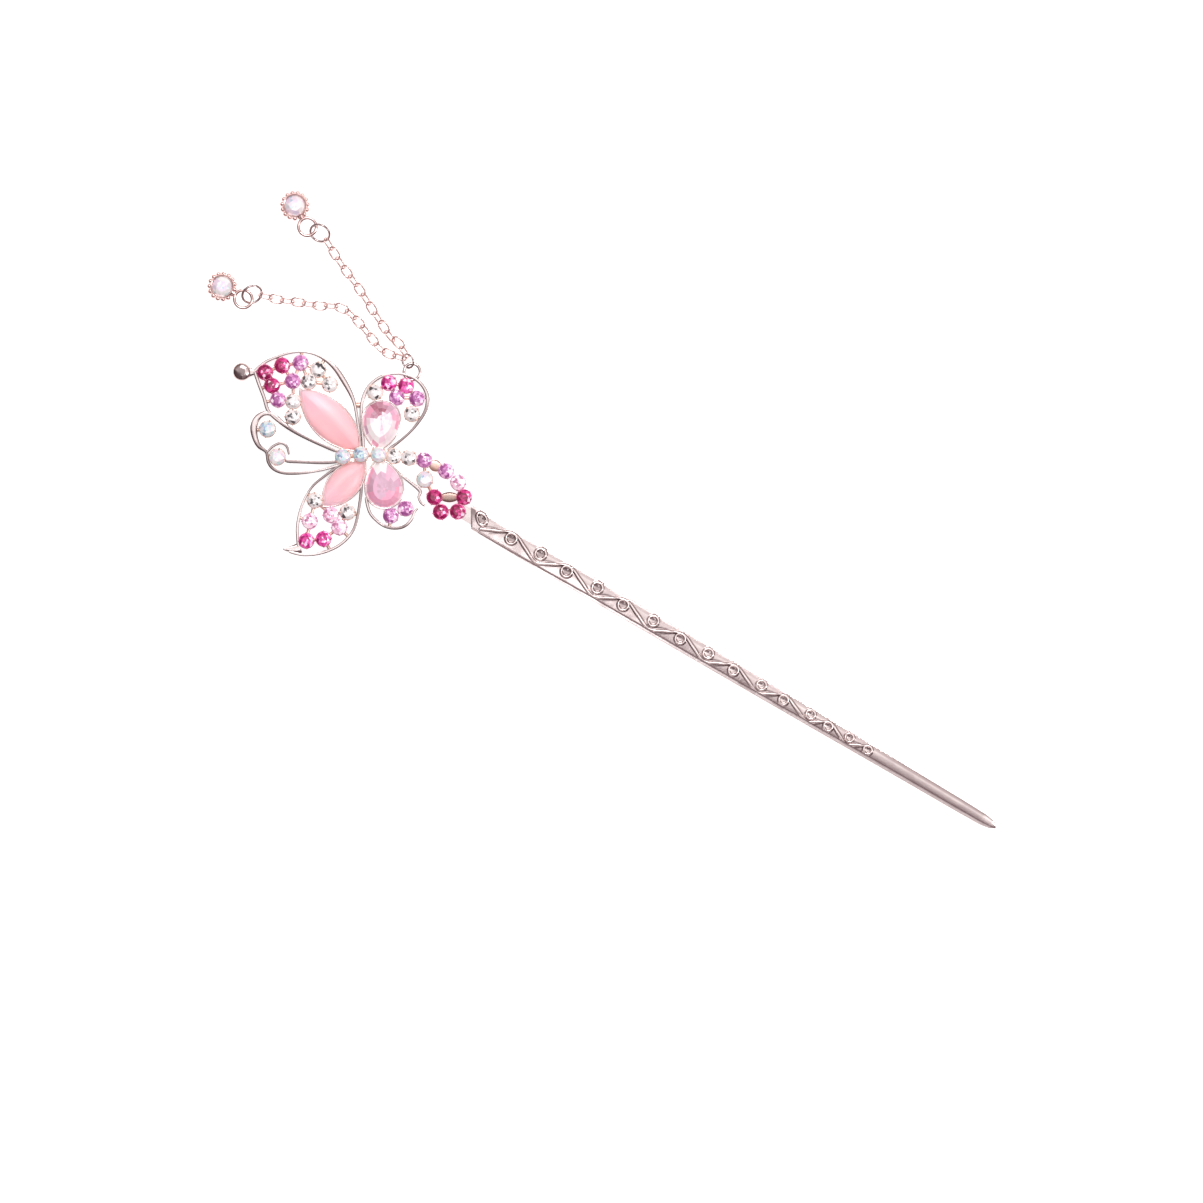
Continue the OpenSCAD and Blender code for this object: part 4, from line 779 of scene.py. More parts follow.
def segmentDistance(px, py, a, b):
    # distance to the segment from a to b, and the share along it
    dx, dy = b[:2] - a[:2]
    t = np.clip(((px - a[0]) * dx + (py - a[1]) * dy) / (dx * dx + dy * dy), 0, 1)
    return np.hypot(px - a[0] - t * dx, py - a[1] - t * dy), t


def plateau(share):
    # flat top with round shoulders, from the distance to the middle as a share of the half width
    t = np.clip((1 - share) / 0.6, 0, 1)
    return t * t * (3 - 2 * t)


def footShade(beyond):
    # a line of shade centred on the foot of a raised form: exp(-(d / 0.1)^2)
    return np.exp(-((beyond + 0.02) / 0.1) ** 2)


def ridge(px, py, rows, height):
    # raised line along a smooth path of (x, y, width), and how much its foot is in shade
    curve = smoothPath(rows, 6)
    raised, beyond = np.zeros_like(px), np.full_like(px, 9.0)
    for a, b in zip(curve[:-1], curve[1:]):
        near = slice(*np.searchsorted(px[:, 0], (min(a[0], b[0]) - 1.2, max(a[0], b[0]) + 1.2)))
        distance, t = segmentDistance(px[near], py[near], a, b)
        half = 0.5 * (a[2] + (b[2] - a[2]) * t)
        raised[near] = np.maximum(raised[near], height * plateau(distance / half))
        beyond[near] = np.minimum(beyond[near], distance - half)
    return raised, footShade(beyond)


curlX = curlShares * stickLook["vineLength"]
even = np.arange(len(curlX)) % 2 == 0
curlHalf = localHalf(curlX)
ribs = np.stack([curlX, np.where(even, -0.57, 0.68) * curlHalf], -1)  # the bends of the ribs
curlY = np.where(even, 0.3, 0.14) * curlHalf
curlSize = stickLook["curl"] * (0.4 + 1.2 * curlHalf / stickLook["width"])

# drawn section: (share of the half width, share of the thickness) round the stick, flat below
ledgeEnd, bevelEnd, flatEnd = -0.855, -0.63, 0.86
sideTo, bevelTo = -0.87, -0.64  # how far the plain sides and the bevel keep their own tones
drawn = np.vstack([
    [(-0.93, 0), (-1, 0.1), (-1, 0.4), (-0.985, 0.46), (-0.97, 0.465), (-0.87, 0.45), (-0.86, 0.455),
     (ledgeEnd, 0.5), (-0.78, 0.72), (-0.7, 0.9), (-0.66, 0.98)],
    np.stack([np.linspace(bevelEnd, flatEnd, 48), np.full(48, 1.0)], -1),
    [(0.93, 0.997), (0.97, 0.994), (1, 0.99), (1, 0.9), (1, 0.1), (0.93, 0)]])
drawnSide, drawnUp = drawn[None, :, 0], drawn[None, :, 1]
rootX = stickSections[0, 0] * stickLook["length"] - stickLook["rootReach"]
xs = np.linspace(rootX, stickLook["length"], stickLook["rows"])[:, None]
half = localHalf(xs)
thick = stickLook["thickness"] * np.interp(xs / stickLook["length"], stickSections[:, 0], stickSections[:, 2])
# the ledge below the bevel widens towards the tip, so the shares across shift along the stick
ledge, bevel = np.interp(xs, ledgeShares[:, 0], ledgeShares[:, 1]), stickLook["bevel"]
onLedge = -1 + (drawnSide + 1) / (ledgeEnd + 1) * ledge
onBevel = -1 + ledge + (drawnSide - ledgeEnd) / (bevelEnd - ledgeEnd) * bevel
onFlat = flatEnd - (flatEnd - drawnSide) / (flatEnd - bevelEnd) * (1 + flatEnd - bevel - ledge)
share = np.where(drawnSide <= ledgeEnd, onLedge, np.where(drawnSide <= bevelEnd, onBevel,
                                                          np.where(drawnSide < flatEnd, onFlat, drawnSide)))
side = share * half
fromRoot = xs - rootX
along = xs - stickLook["rootSlant"] * np.clip(1 - fromRoot / 6, 0, 1) * side
onTop = np.clip((drawnUp - 0.6) / 0.3, 0, 1)
apex = stickLook["apex"]
fall = np.where(share < apex, (apex - share) / (1 + apex), (share - apex) / (1 - apex))
up = drawnUp * thick - stickLook["crown"] * onTop * fall ** 2 * (half / half.max())
ribRows = np.zeros((2 * len(ribs) - 1, 3))
ribRows[::2] = np.insert(ribs, 2, 0.8 * stickLook["ribWidth"], 1)
ribRows[1::2] = np.insert(0.5 * (ribs[:-1] + ribs[1:]), 2, 1.15 * stickLook["ribWidth"], 1)
flatX = np.repeat(xs, len(drawn), 1)
relief, shade = ridge(flatX, side, ribRows, stickLook["ribHeight"])
for start, end in zip(ribs[:-1:2], ribs[1::2]):
    for drop, first, last, depth, reach in flatLines:
        t = np.linspace(first, last, 5)[:, None]
        line = start + t * (end - start) - drop * np.sin(math.pi * np.minimum(1, t + 0.2)) * (0, 1)
        line = smoothPath(line, 4)
        for p, q in zip(line[:-1], line[1:]):
            near = slice(*np.searchsorted(xs[:, 0], (p[0] - 0.6, q[0] + 0.6)))
            distance = segmentDistance(flatX[near], side[near], p, q)[0]
            shade[near] = np.maximum(shade[near], depth * np.exp(-(distance / reach) ** 2))
inside, swirl = np.zeros_like(relief), np.zeros_like(relief)
for x, y, size in zip(curlX, curlY, curlSize):
    near = slice(*np.searchsorted(xs[:, 0], (x - size, x + size)))
    distance = np.hypot(flatX[near] - x, side[near] - y)
    angle = np.arctan2(side[near] - y, flatX[near] - x)
    mean, wire = 0.5 * (size - stickLook["curlWire"]), 0.5 * stickLook["curlWire"]
    ring = stickLook["ribHeight"] * plateau(np.abs(distance - mean) / (1.15 * wire))
    hollow = -stickLook["hollow"] * np.clip((mean - distance) / mean, 0, 1)
    relief[near] = np.where(distance < mean, np.where(ring > 0, ring, hollow), np.maximum(relief[near], ring))
    outline = 0.8 * footShade(np.abs(distance - mean) - 1.15 * wire)
    shade[near] = np.where(distance < mean + 1.15 * wire, outline, np.maximum(shade[near], outline))
    # masks for painted shade: inside the curls, and a dark swirl within them
    inside[near] = np.maximum(inside[near], np.clip((mean - 0.8 * wire - distance) / 0.1, 0, 1))
    hook = np.exp(-((distance - 0.4 * mean) / 0.1) ** 2) * (np.abs(angle - 0.6) < 2.1)
    swirl[near] = np.maximum(swirl[near], hook)
rootFade = np.clip(fromRoot / 0.35, 0, 1)
up = up * (0.99 + 0.01 * rootFade) + relief * onTop * np.clip(rootFade * 2, 0, 1)

# Tone of the stick, all painted light and shade: the ground's, brighter on raised lines, darker at their feet
# and on the bevel.
tone = sum(np.interp(xs, groundTones[:, 0], groundTones[:, k + 1]) * np.interp(share, groundShares, weight)
           for k, weight in enumerate(np.eye(len(groundShares))))
tone += (stickTone["raised"] - tone) * np.sqrt(np.clip(relief / stickLook["ribHeight"], 0, 1))
tone -= stickTone["foot"] * shade
# painted shade of the swirls, and painted shade inside the curls
swirlShade = stickTone["hook"] * swirl * np.interp(flatX, *stickRuns["hooks"])
curlTone = np.interp(flatX, *stickRuns["curls"]) - swirlShade
tone += (curlTone - tone) * inside
rootShade = np.clip(1.6 - fromRoot / 1.3, 0, 1) * np.interp(share, (-0.75, -0.3, 0.1, 0.4), (0, 0.4, 0.5, 1))
tone = np.clip(tone * (1 - stickTone["root"] * rootShade), stickTone["darkest"], 0.5)
# painted shade on the bevel; the plain sides below keep one tone
tone = np.where(drawnSide < bevelTo, stickTone["bevel"], tone)
tone = np.where(drawnSide <= sideTo, stickTone["side"], tone)
# painted shade along the upper rim near the tip
rimShare = np.interp(xs, *stickRuns["rim"]) * ((drawnSide > 0.9) & (drawnUp > 0.98))
tone += (stickTone["outline"] - tone) * rimShare
tone = tone + np.roll(tone, -1, 1)
tone = 0.25 * (tone[:-1] + tone[1:])
stick = Shape()
stick.grid(np.stack([along, side, up], -1), False, True, True, np.append(tone, stickTone["capTones"]))
tongueHalf = 0.34  # half the thickness of the tongue under the tail
tongue = np.array([(-2.4, 0, tongueHalf), (-1.2, 0, tongueHalf), (2.5, 0, tongueHalf)])
tongueSide = np.array([(-1.3, -tongueHalf), (-1.34, 0.2), (-1.3, tongueHalf), (1.3, tongueHalf), (1.34, 0.2),
                       (1.3, -tongueHalf)])
sweep(stick, tongue, tongueSide, 0.4)
print("stage: stick")


# Drops, their rings, and the chains.

dropLook = {"stone": 3.9, "crown": 0.7, "pavilion": 1.1, "beads": 15, "bead": 0.5, "eye": 1.78, "eyeWire": 0.31,
            "ring": 2.0, "ringWire": 0.25, "ringTilt": 38, "girdle": 1.5, "rim": 0.56}
drops = [{"eye": (-31.86, 57.44), "stoneTurn": 120.4, "ringTurn": -26.4, "ringStep": 2.79, "hold": -26},
         {"eye": (-44.68, 43.0), "stoneTurn": 149.2, "ringTurn": 27.8, "ringStep": 2.0, "hold": -39}]
ringHeight = dropLook["ring"] * ray(dropLook["ringTilt"])[1] + dropLook["ringWire"] + 0.02
settings, jumpRings, bailRing = [Shape(), Shape()], [Shape(), Shape()], Shape()
dropStonePlaces, ringCentres = [], []
r, g = dropLook["stone"] / 2, dropLook["girdle"]
rim = r + dropLook["rim"]
for drop, setting, ring in zip(drops, settings, jumpRings):
    eye = np.array(drop["eye"])
    centre = eye + (rim + dropLook["eye"] + 0.65) * ray(drop["stoneTurn"])
    dropStonePlaces.append(centre)
    x, y = toPart(centre)
    lathe(setting, [
        (0.5 * r, 0), (rim - 0.15, 0), (rim, 0.12), (rim + 0.02, 1.0), (rim - 0.08, g + 0.16),
        (rim - 0.3, g + 0.3), (r + 0.1, g + 0.24), (r + 0.05, g + 0.1), (r + 0.05, g - 0.1),
        (0.5 * r, g - 0.68)], (x, y, 0), 48)
    for k in range(dropLook["beads"]):
        c, s = (rim + 0.05) * ray(bodyTurn + drop["stoneTurn"] + 360 * k / dropLook["beads"] + 5)
        ball(setting, (x + c, y + s, g - 0.35), dropLook["bead"])
    torus(setting, (*toPart(eye), ringHeight), dropLook["eye"], dropLook["eyeWire"])
    bar(setting, towards(centre, eye, rim - 0.3), towards(centre, eye, rim + 0.75), 1.1, 0.65, 1.75)
    middle = eye + drop["ringStep"] * ray(drop["ringTurn"])
    ringCentres.append(middle)
    torus(ring, (*toPart(middle), ringHeight), dropLook["ring"], dropLook["ringWire"],
          drop["ringTurn"] + bodyTurn, dropLook["ringTilt"])
bailStep = eyeletLook["mean"] - eyeletLook["wire"] + eyeletLook["bail"] - eyeletLook["bailWire"] - 0.22
bailPlace = eyeletPlace + bailStep * ray(eyeletLook["bailTurn"])
torus(bailRing, (*toPart(bailPlace), eyeletHeight), eyeletLook["bail"], eyeletLook["bailWire"],
      eyeletLook["bailTurn"] + bodyTurn, -eyeletLook["bailTilt"])

linkLook = {"length": 3.1, "width": 2.1, "wire": 0.3, "drawnWire": 0.36, "room": 0.1, "roll": 30, "tone": 0.45}
# each chain: its way in the butterfly's axes, the angle of its hold on the bail ring, and its heading there
chainRows = [{"hold": -10, "arrive": -56, "way": [
    (-26, 51.4), (-24.8, 49.6), (-23.5, 47.8), (-22.2, 46.1), (-21, 44.3), (-19.7, 42.3), (-18.6, 40.5),
    (-17.4, 38.7), (-15.9, 36.4), (-15, 35),
]}, {"hold": 46, "arrive": -18, "way": [
    (-38.4, 43.1), (-36.4, 42.7), (-34.2, 42.5), (-32, 42.1), (-29.6, 41.7), (-27.4, 41.7), (-25.4, 41.4),
    (-24, 40.7), (-22.8, 39.6), (-21.4, 38.2), (-20, 36.5), (-18.6, 34.7), (-17.4, 33.2),
]}]
inner = linkLook["length"] / 2 - linkLook["wire"]
linkReach = linkLook["length"] - 2 * linkLook["wire"] - linkLook["room"]


def ringHold(centre, radius, turn, tilt, angle):
    # a point on a tilted ring, seen from above
    c, s = ray(angle)
    return centre + radius * c * ray(turn) + radius * ray(tilt)[0] * s * ray(turn + 90)


def chainRoute(rows, drop, ringCentre):
    # from the hold on the jump ring along the way to the hold on the bail ring
    start = ringHold(ringCentre, dropLook["ring"], drop["ringTurn"], dropLook["ringTilt"], drop["hold"])
    end = ringHold(bailPlace, eyeletLook["bail"], eyeletLook["bailTurn"], eyeletLook["bailTilt"], rows["hold"])
    way = np.array(rows["way"])
    first = towards(start, way[0], inner - dropLook["ringWire"] - 0.12)
    last = end - (inner - eyeletLook["bailWire"] - 0.45) * ray(rows["arrive"])
    return np.vstack([first, way, last - linkReach * ray(rows["arrive"]), last])


def linkTemplate():
    # centreline of two half circles and two straights, with a round wire carried round it
    s, r = (linkLook["length"] - linkLook["width"]) / 2, (linkLook["width"] - linkLook["wire"]) / 2
    a = np.linspace(-math.pi / 2, math.pi / 2, 13)
    normal = np.stack([np.cos(a), np.sin(a)], -1)
    cap = r * normal + (s, 0)
    line, normal = np.vstack([cap, -cap]), np.vstack([normal, -normal])
    b = around(10)[None, :, None]
    radius = linkLook["drawnWire"] / 2
    flat = line[:, None] + radius * np.cos(b) * normal[:, None]
    return np.concatenate([flat, np.broadcast_to(radius * np.sin(b), flat.shape[:2] + (1,))], -1)


def chain(shape, route):
    # links evenly along the route, each rolled by a quarter turn against its neighbours
    lengths = np.append(0, np.cumsum(np.linalg.norm(np.diff(route, axis=0), axis=1)))
    stops = np.linspace(0, lengths[-1], 2 * math.ceil(lengths[-1] / linkReach / 2) + 1)

    def pointAt(s):
        return np.stack([np.interp(s, lengths, route[:, 0]), np.interp(s, lengths, route[:, 1])], -1)

    half = 0.5 * stops[1]
    heading = pointAt(np.minimum(stops + half, lengths[-1])) - pointAt(np.maximum(stops - half, 0))
    level = (linkLook["width"] - linkLook["wire"]) / 2 * ray(linkLook["roll"])[0] + linkLook["wire"] / 2 + 0.02
    template = linkTemplate()
    for i, (p, (dx, dy)) in enumerate(zip(toPart(pointAt(stops)), heading)):
        roll = linkLook["roll"] - 90 if i % 2 == 0 else linkLook["roll"]
        turn = math.degrees(math.atan2(dy, dx)) + bodyTurn
        shape.grid(place(template, (*p, level), turn, roll), True, True, tone=linkLook["tone"])


chains = [Shape(), Shape()]
for shape, rows, drop, centre in zip(chains, chainRows, drops, ringCentres):
    chain(shape, chainRoute(rows, drop, centre))
print("stage: drops and chains")


# Cut stones: table, crown and pavilion facets, each with a tone of its own that paints its light and shade.

litSideTurn = studio["pictureTurn"] - 14  # the side lit by painted light, towards the lower right of the picture
# painted flashes: a share of facets pushed to glinting white, and as many to dark
facetLook = {"flashShare": 0.1, "flash": 2, "wander": 25, "patchPlace": (0.45, 0.75), "darkest": 0.03}
# base tone, lean of painted light, spread, and patches of painted highlight (amount above zero) and painted
# shade (below zero) as (amount, reach, turn from the lit side)
toneLook = {
    "deepFuchsia": (0.28, 0.16, 0.24, ((0.6, 0.3, 20), (0.4, 0.25, -75), (-0.4, 0.35, 170))),
    "fuchsia": (0.4, 0.16, 0.26, ((0.6, 0.3, 15), (0.4, 0.25, -80), (-0.42, 0.35, 160))),
    "lilac": (0.3, 0.12, 0.3, ((0.5, 0.3, 10), (-0.7, 0.3, 150), (-0.6, 0.24, -110), (0.4, 0.26, 100))),
    "palePink": (0.62, 0.1, 0.28, ((0.4, 0.34, 20), (-0.8, 0.28, 140), (-0.6, 0.24, -100))),
    "clear": (0.8, 0.06, 0.22, ((0.4, 0.4, 0), (-0.9, 0.32, 150), (-0.8, 0.26, -95), (-0.8, 0.26, 70),
                                (-0.7, 0.2, -20))),
    "opal": (0.38, 0.1, 0.13, ((0.4, 0.3, 30), (-0.2, 0.35, 170), (0.3, 0.25, -90))),
    "opalPink": (0.55, 0.08, 0.14, ((0.4, 0.3, 30), (-0.3, 0.3, 170), (0.2, 0.25, -90))),
    "opalWhite": (0.67, 0.08, 0.17, ((0.4, 0.4, 20), (-0.3, 0.3, 160))),
    "drop": (0.64, 0.0, 0.15, ((0.5, 0.45, 30), (0.5, 0.3, -90))),
}
slotOf = {"deepFuchsia": "deep_fuchsia_glass", "fuchsia": "fuchsia_glass", "lilac": "lilac_glass",
          "palePink": "pale_pink_glass", "clear": "clear_glass", "opal": "opal_glass"}


def toneDraw(generator, spots, look):
    # base + lean * place across the stone (painted light) + noise, painted flashes up and down on a few facets,
    # and for each painted highlight and shade patch amount * exp(-(distance / reach)^2)
    base, lean, spread, patches = look
    tone = base + lean * (spots @ ray(litSideTurn)) + generator.normal(0, spread, len(spots))
    flash, share = generator.random(len(spots)), facetLook["flashShare"]
    tone += spread * facetLook["flash"] * ((flash < share) * 1 - (flash > 1 - share) * 1)
    for amount, reach, turn in patches:
        a = turn + litSideTurn + generator.normal(0, facetLook["wander"])
        centre = generator.uniform(*facetLook["patchPlace"]) * ray(a)
        tone += amount * np.exp(-(np.linalg.norm(spots - centre, axis=1) / reach) ** 2)
    return np.clip(tone, facetLook["darkest"], 1)


def cutStone(shape, centre, diameter, girdle, crown, pavilion, generator, look):
    # rings of facets: heart and table at one height, mid crown, 16 sided girdle, and the point below
    r, edge = diameter / 2, stoneLook["girdle"] / 2
    eight = stoneLook["turn"] + bodyTurn + 45 * np.arange(8)
    sixteen = stoneLook["turn"] + bodyTurn + 22.5 * np.arange(16)
    rings = ((stoneLook["heart"], eight, crown), (stoneLook["table"], eight, crown),
             (stoneLook["mid"], eight + 22.5, stoneLook["midRise"] * crown),
             (1, sixteen, edge), (1, sixteen, -edge))
    points = [[(0, 0, crown)]]
    for share, angles, height in rings:
        a = np.radians(angles)
        points.append(np.stack([share * r * np.cos(a), share * r * np.sin(a), np.full(len(a), height)], -1))
    points.append([(0, 0, -pavilion)])
    heart, table, mid, top, low, tip = 1, 9, 17, 25, 41, 57  # first vertex of each ring
    i, j = np.arange(8), np.arange(16)
    n, m = (i + 1) % 8, (j + 1) % 16
    facets = ((0 * i, heart + i, heart + n), (heart + i, table + i, table + n, heart + n),
              (table + i, mid + i, table + n), (table + n, mid + i, top + 2 * n, mid + n),
              (mid + i, top + 2 * i, top + 2 * i + 1), (mid + i, top + 2 * i + 1, top + 2 * n),
              (top + j, low + j, low + m, top + m), (low + j, tip + 0 * j, low + m))
    faces = [face for rows in facets for face in np.stack(rows, -1).tolist()]
    flat = np.vstack(points)
    spots = np.array([flat[face].mean(0)[:2] for face in faces]) / r
    shape.add(flat + (*centre, girdle), faces, toneDraw(generator, spots, look))


def stonePiece(nodeName, places, colour, girdle=cupLook["girdle"], diameter=stoneLook["diameter"],
               crown=stoneLook["crown"], pavilion=stoneLook["pavilion"], look=None):
    # the stones of one CAD node, with seeded tones
    shape = Shape()
    generator = np.random.default_rng(sum(map(ord, nodeName)))
    for centre in toPart(np.atleast_2d(places)):
        cutStone(shape, centre, diameter, girdle, crown, pavilion, generator, toneLook[look or colour])
    shape.piece(nodeName + "_cut", glass[colour], slotOf[colour], (nodeName,), smooth=False)


nodeWords = {"upperLeft": "upper_left", "upperRight": "upper_right", "lowerLeft": "lower_left",
             "lowerRight": "lower_right", "deepFuchsia": "fuchsia", "palePink": "pink"}
for wing, tables in wingStones.items():
    for colour, rows in tables.items():
        nodeName = nodeWords[wing] + "_" + nodeWords.get(colour, colour) + "_stones"
        stonePiece(nodeName, onWing(wing, rows), colour)
for k, (p, look) in enumerate(zip(bodyPlaces, ("opal", "opal", "opalPink"))):
    stonePiece(f"body_stone_{k + 1}", p, "opal", cupLook["girdle"] + cupLook["lift"], look=look)
for k, (p, colour) in enumerate(zip(tailPlaces, tailColours)):
    stonePiece(f"tail_stone_{k + 1}", p, colour)
for k, (p, look) in enumerate(zip(feelerPlaces, ("opal", "opalWhite"))):
    stonePiece(f"feeler_stone_{k + 1}", p, "opal", diameter=stoneLook["opal"], look=look)
stonePiece("curl_stone", curlPlace, "opal", diameter=stoneLook["opal"], look="opalWhite")
for k, p in enumerate(dropStonePlaces):
    stonePiece(f"drop_stone_{k + 1}", p, "opal", dropLook["girdle"], dropLook["stone"], dropLook["crown"],
               dropLook["pavilion"], "drop")


# Cat's eyes: smooth domes whose height falls off as (1 - k^2)^0.6 from the middle to the edge.

eyeLook = {"foot": 0.95, "side": 1.08, "height": 2.4, "power": 0.6, "rings": 18, "around": 96}
for wing in ("upperLeft", "lowerLeft"):
    shares = np.sin(np.linspace(0.03, math.pi / 2, eyeLook["rings"]))[::-1]
    dome = (eyeLook["height"] - eyeLook["side"]) * (1 - shares**2) ** eyeLook["power"]
    rise = eyeLook["foot"] + eyeLook["side"] + dome
    rings = [(1, eyeLook["foot"], -0.05), *((k, z, 0) for k, z in zip(shares, rise))]
    along, across = stoneOutline(wing, 0, eyeLook["around"])
    spread = np.append(1, shares)[:, None]
    uv = np.stack([0.5 + spread * (along / wings[wing]["length"] - 0.5),
                   0.5 + spread * across / wings[wing]["width"]], -1)
    shape = Shape()
    shape.grid(outlineRings(wing, rings, eyeLook["around"]), False, True, True, uv=uv)
    nodeName = nodeWords[wing] + "_cat_eye"
    shape.piece(nodeName + "_dome", catEye, "cat_eye_glass", (nodeName,), True, 40)


# Pears: facets between rings of the outline. Each glint, a painted highlight where its tone is high and painted
# shade where it is low, is (share along, share across, reach, tone).

pearLook = {"girdle": 2.2, "around": 16, "tone": 0.72, "spread": 0.07, "glintSpread": 0.05,
            "capTones": (0.5, 0.8)}
# (share of the outline, height over the girdle) from the point below to the table
pearRings = ((0.06, -1.3), (0.55, -0.62), (1, -0.06), (1, 0.06), (0.84, 0.55), (0.62, 1.0), (0.42, 1.0),
             (0.22, 1.0), (0.05, 1.0))
pearGlints = {
    "upperRight": [(0.46, -0.02, 0.31, 0.94), (0.4, 0.02, 0.26, 1.0), (0.2, -0.04, 0.14, 0.95),
                   (0.4, 0.34, 0.09, 0.4), (0.7, 0.14, 0.08, 0.3), (0.86, 0.08, 0.14, 0.22),
                   (0.86, -0.16, 0.1, 0.42)],
    "lowerRight": [(0.5, 0.0, 0.28, 0.46), (0.68, -0.1, 0.14, 0.5), (0.16, 0.0, 0.17, 1.0),
                   (0.34, 0.2, 0.12, 0.85), (0.8, 0.1, 0.12, 0.72), (0.55, -0.3, 0.1, 0.4)],
}
for wing, glints in pearGlints.items():
    nodeName, g = nodeWords[wing] + "_pear", pearLook["girdle"]
    generator = np.random.default_rng(sum(map(ord, nodeName)))
    points = outlineRings(wing, [(share, g + height, 0) for share, height in pearRings], pearLook["around"])
    middles = points.reshape(-1, 3)[gridFaces(*points.shape[:2], False, True)].mean(1)
    offset = (middles[:, :2] - toPart(acrossFromTip(wing, 0.0, 0.0))) / wings[wing]["length"]
    along, across = (offset @ ray(wings[wing]["angle"] + bodyTurn + turn) for turn in (0, 90))
    tones = pearLook["tone"] + generator.normal(0, pearLook["spread"], len(middles))
    for x, y, reach, tone in glints:
        lit = (np.hypot(along - x, across - y) < reach) & (middles[:, 2] > g)
        tones = np.where(lit, tone + generator.normal(0, pearLook["glintSpread"], len(middles)), tones)
    shape = Shape()
    shape.grid(points, False, True, True, np.append(tones, pearLook["capTones"]))
    shape.piece(nodeName + "_cut", glass["rose"], "rose_glass", (nodeName,), smooth=False)

wingBands.piece("wing_bands", roseMetal, "rose_metal", ("frame",))
for metal, shape in cups.items():
    shape.piece("claw_cups_" + metal, reflectionTintedMetals[metal], "rose_metal", ("frame",))
bezels.piece("stone_bezels", roseMetal, "rose_metal", ("frame",))
fittings.piece("button_and_eyelet", roseMetal, "rose_metal", ("frame",))
stick.piece("vine_stick", roseMetal, "rose_metal", ("frame",), True, 60)
bailRing.piece("bail_ring_wire", roseMetal, "rose_metal", ("bail_ring",))
for k in range(2):
    settings[k].piece(f"setting_{k + 1}_beaded", chainMetal, "chain_metal", (f"setting_{k + 1}",))
    jumpRings[k].piece(f"jump_ring_{k + 1}_wire", roseMetal, "rose_metal", (f"jump_ring_{k + 1}",))
    chains[k].piece(f"chain_{k + 1}_links", chainMetal, "chain_metal", (f"chain_{k + 1}",))
print("stage: pieces placed")


# Floor, world, lights and camera.

floorLook = {"half": 3, "drop": 0.0001, "seen": 0.82, "mirrored": (0.5, 0.42, 0.42, 1)}  # in metres
h, low = floorLook["half"], -floorLook["drop"]
floorMesh = bpy.data.meshes.new("floor")
floorMesh.from_pydata([(-h, -h, low), (h, -h, low), (h, h, low), (-h, h, low)], [], [(0, 1, 2, 3)])
floor = bpy.data.objects.new("floor", floorMesh)
bpy.context.scene.collection.objects.link(floor)
floorMaterial, tree, shader = newMaterial("whitePaper")
mirrored = node(tree, "ShaderNodeLightPath").outputs["Is Glossy Ray"]
feed(tree, shader, {
    "Base Color": (0.8, 0.8, 0.8, 1), "Roughness": 0.9, "Emission Strength": 1.0,
    "Emission Color": mixed(tree, mirrored, (*3 * [floorLook["seen"]], 1), floorLook["mirrored"])})
floorMesh.materials.append(floorMaterial)

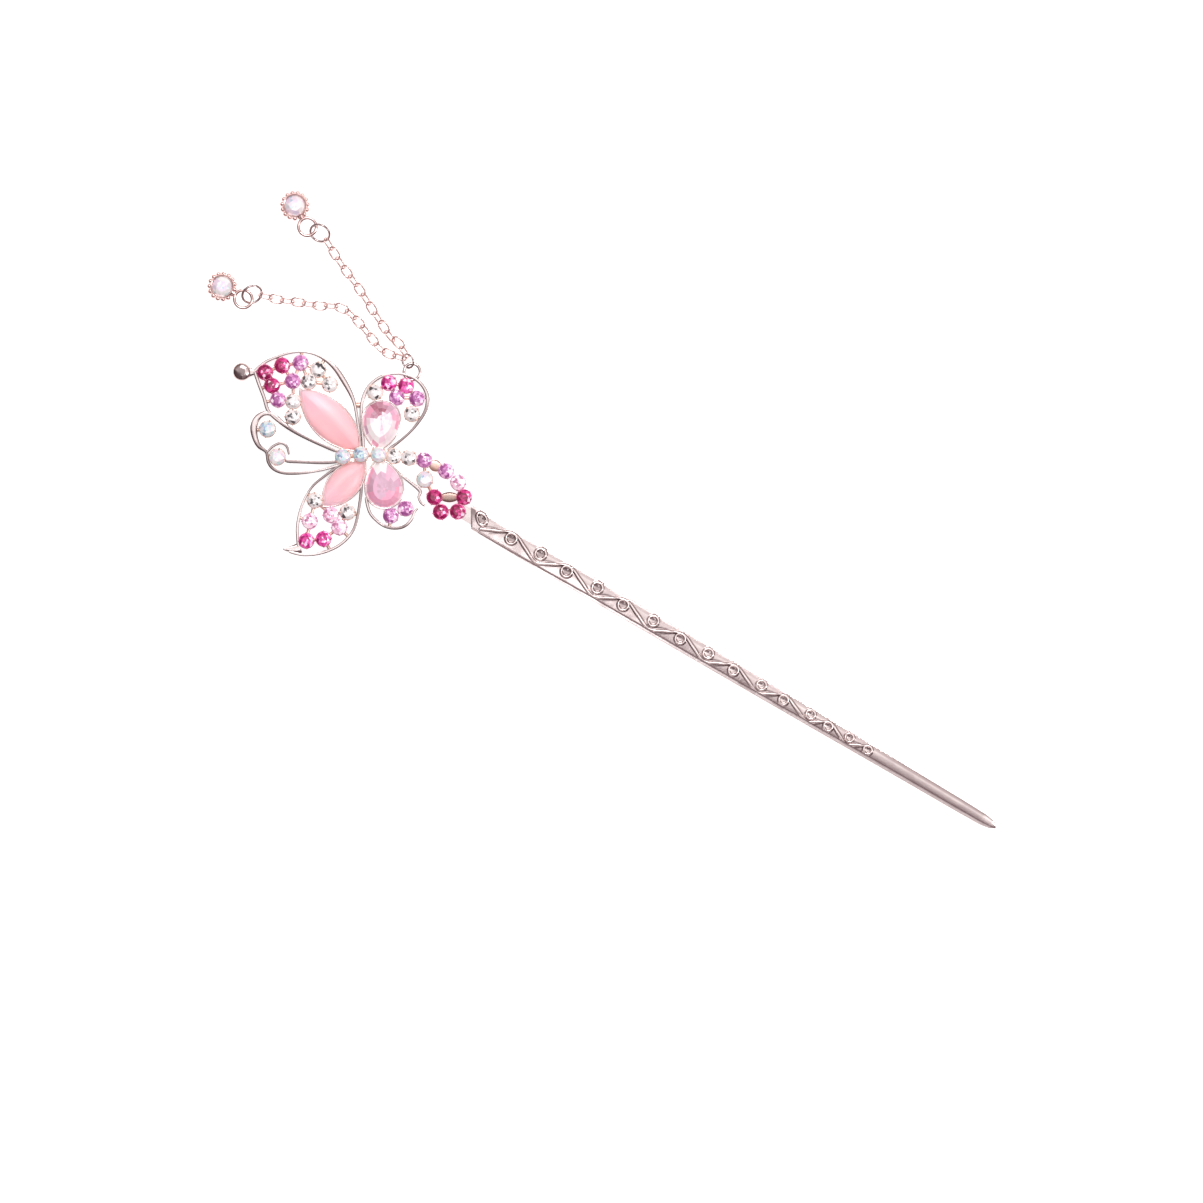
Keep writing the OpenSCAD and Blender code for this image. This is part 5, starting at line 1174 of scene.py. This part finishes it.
# The world is a soft box overhead: bright above and to the picture's upper right, brown-grey lower down.
world = bpy.data.worlds.new("studio")
bpy.context.scene.world = world
world.use_nodes = True
tree = world.node_tree
heading = node(tree, "ShaderNodeTexCoord").outputs["Generated"]
lean = node(tree, "ShaderNodeVectorMath", {0: heading, 1: (*ray(studio["pictureTurn"] + 68), 0)},
            operation="DOT_PRODUCT").outputs["Value"]
sides = ramp(tree, mapRange(tree, lean, {"From Min": -1.0, "From Max": 1.0}), [
    (0, 0.5, 0.45, 0.45), (0.15, 0.24, 0.18, 0.19), (0.42, 0.17, 0.125, 0.135), (0.455, 0.42, 0.36, 0.37),
    (0.485, 0.85, 0.80, 0.80), (0.51, 1.0, 0.98, 0.98), (0.56, 0.78, 0.72, 0.72), (0.8, 0.66, 0.60, 0.60),
    (1, 0.8, 0.76, 0.76)])
rise = ramp(tree, node(tree, "ShaderNodeSeparateXYZ", {"Vector": heading}).outputs["Z"], [
    (0, 0.6, 0.52, 0.51), (0.25, 0.42, 0.34, 0.33), (0.6, 0.58, 0.49, 0.48), (0.8, 0.95, 0.92, 0.92),
    (1, 1, 1, 1)])
sky = mixed(tree, 1.0, sides, rise, "MULTIPLY")
seen = node(tree, "ShaderNodeLightPath").outputs["Is Camera Ray"]
feed(tree, tree.nodes["Background"], {"Color": mixed(tree, seen, sky, (1, 1, 1, 1)), "Strength": 1.5})


def areaLight(name, spot, size, power, height=None):
    # a disk turned to the middle of the picture, or a level card with a height of its own
    data = bpy.data.lights.new(name, "AREA")
    data.size, data.energy = size, power
    lamp = bpy.data.objects.new(name, data)
    lamp.location = spot
    if height is None:
        data.shape = "DISK"
        x, y, z = np.array([*studio["middle"], 0]) * mm - spot
        lamp.rotation_euler = (math.acos(-z / math.hypot(x, y, z)), 0, math.atan2(-x, y))
    else:
        data.shape, data.size_y = "RECTANGLE", height
    bpy.context.scene.collection.objects.link(lamp)


areaLight("softTop", (-0.25, 0.55, 1.1), 0.6, 5.0)
areaLight("softSide", (0.8, 0.2, 0.9), 0.4, 2.6)
areaLight("spark", (0.1, 0.75, 0.9), 0.05, 0.4)
areaLight("whiteCard", (0.014, -0.14, 1.0), 0.085, 0.06, 0.15)  # seen in the lower slope of the stick

cameraData = bpy.data.cameras.new("camera")
cameraData.sensor_width = studio["sensor"]
cameraData.lens = studio["sensor"] * (studio["high"] - 1) / studio["frameWidth"]  # at 1 mm over the floor
cameraData.clip_end = 10
camera = bpy.data.objects.new("camera", cameraData)
camera.location = (studio["middle"][0] * mm, studio["middle"][1] * mm, studio["high"] * mm)
camera.rotation_euler = (0, 0, math.radians(studio["pictureTurn"]))
bpy.context.scene.collection.objects.link(camera)
bpy.context.scene.camera = camera
bpy.context.scene.view_settings.view_transform = "Standard"
print("stage: lights and camera")
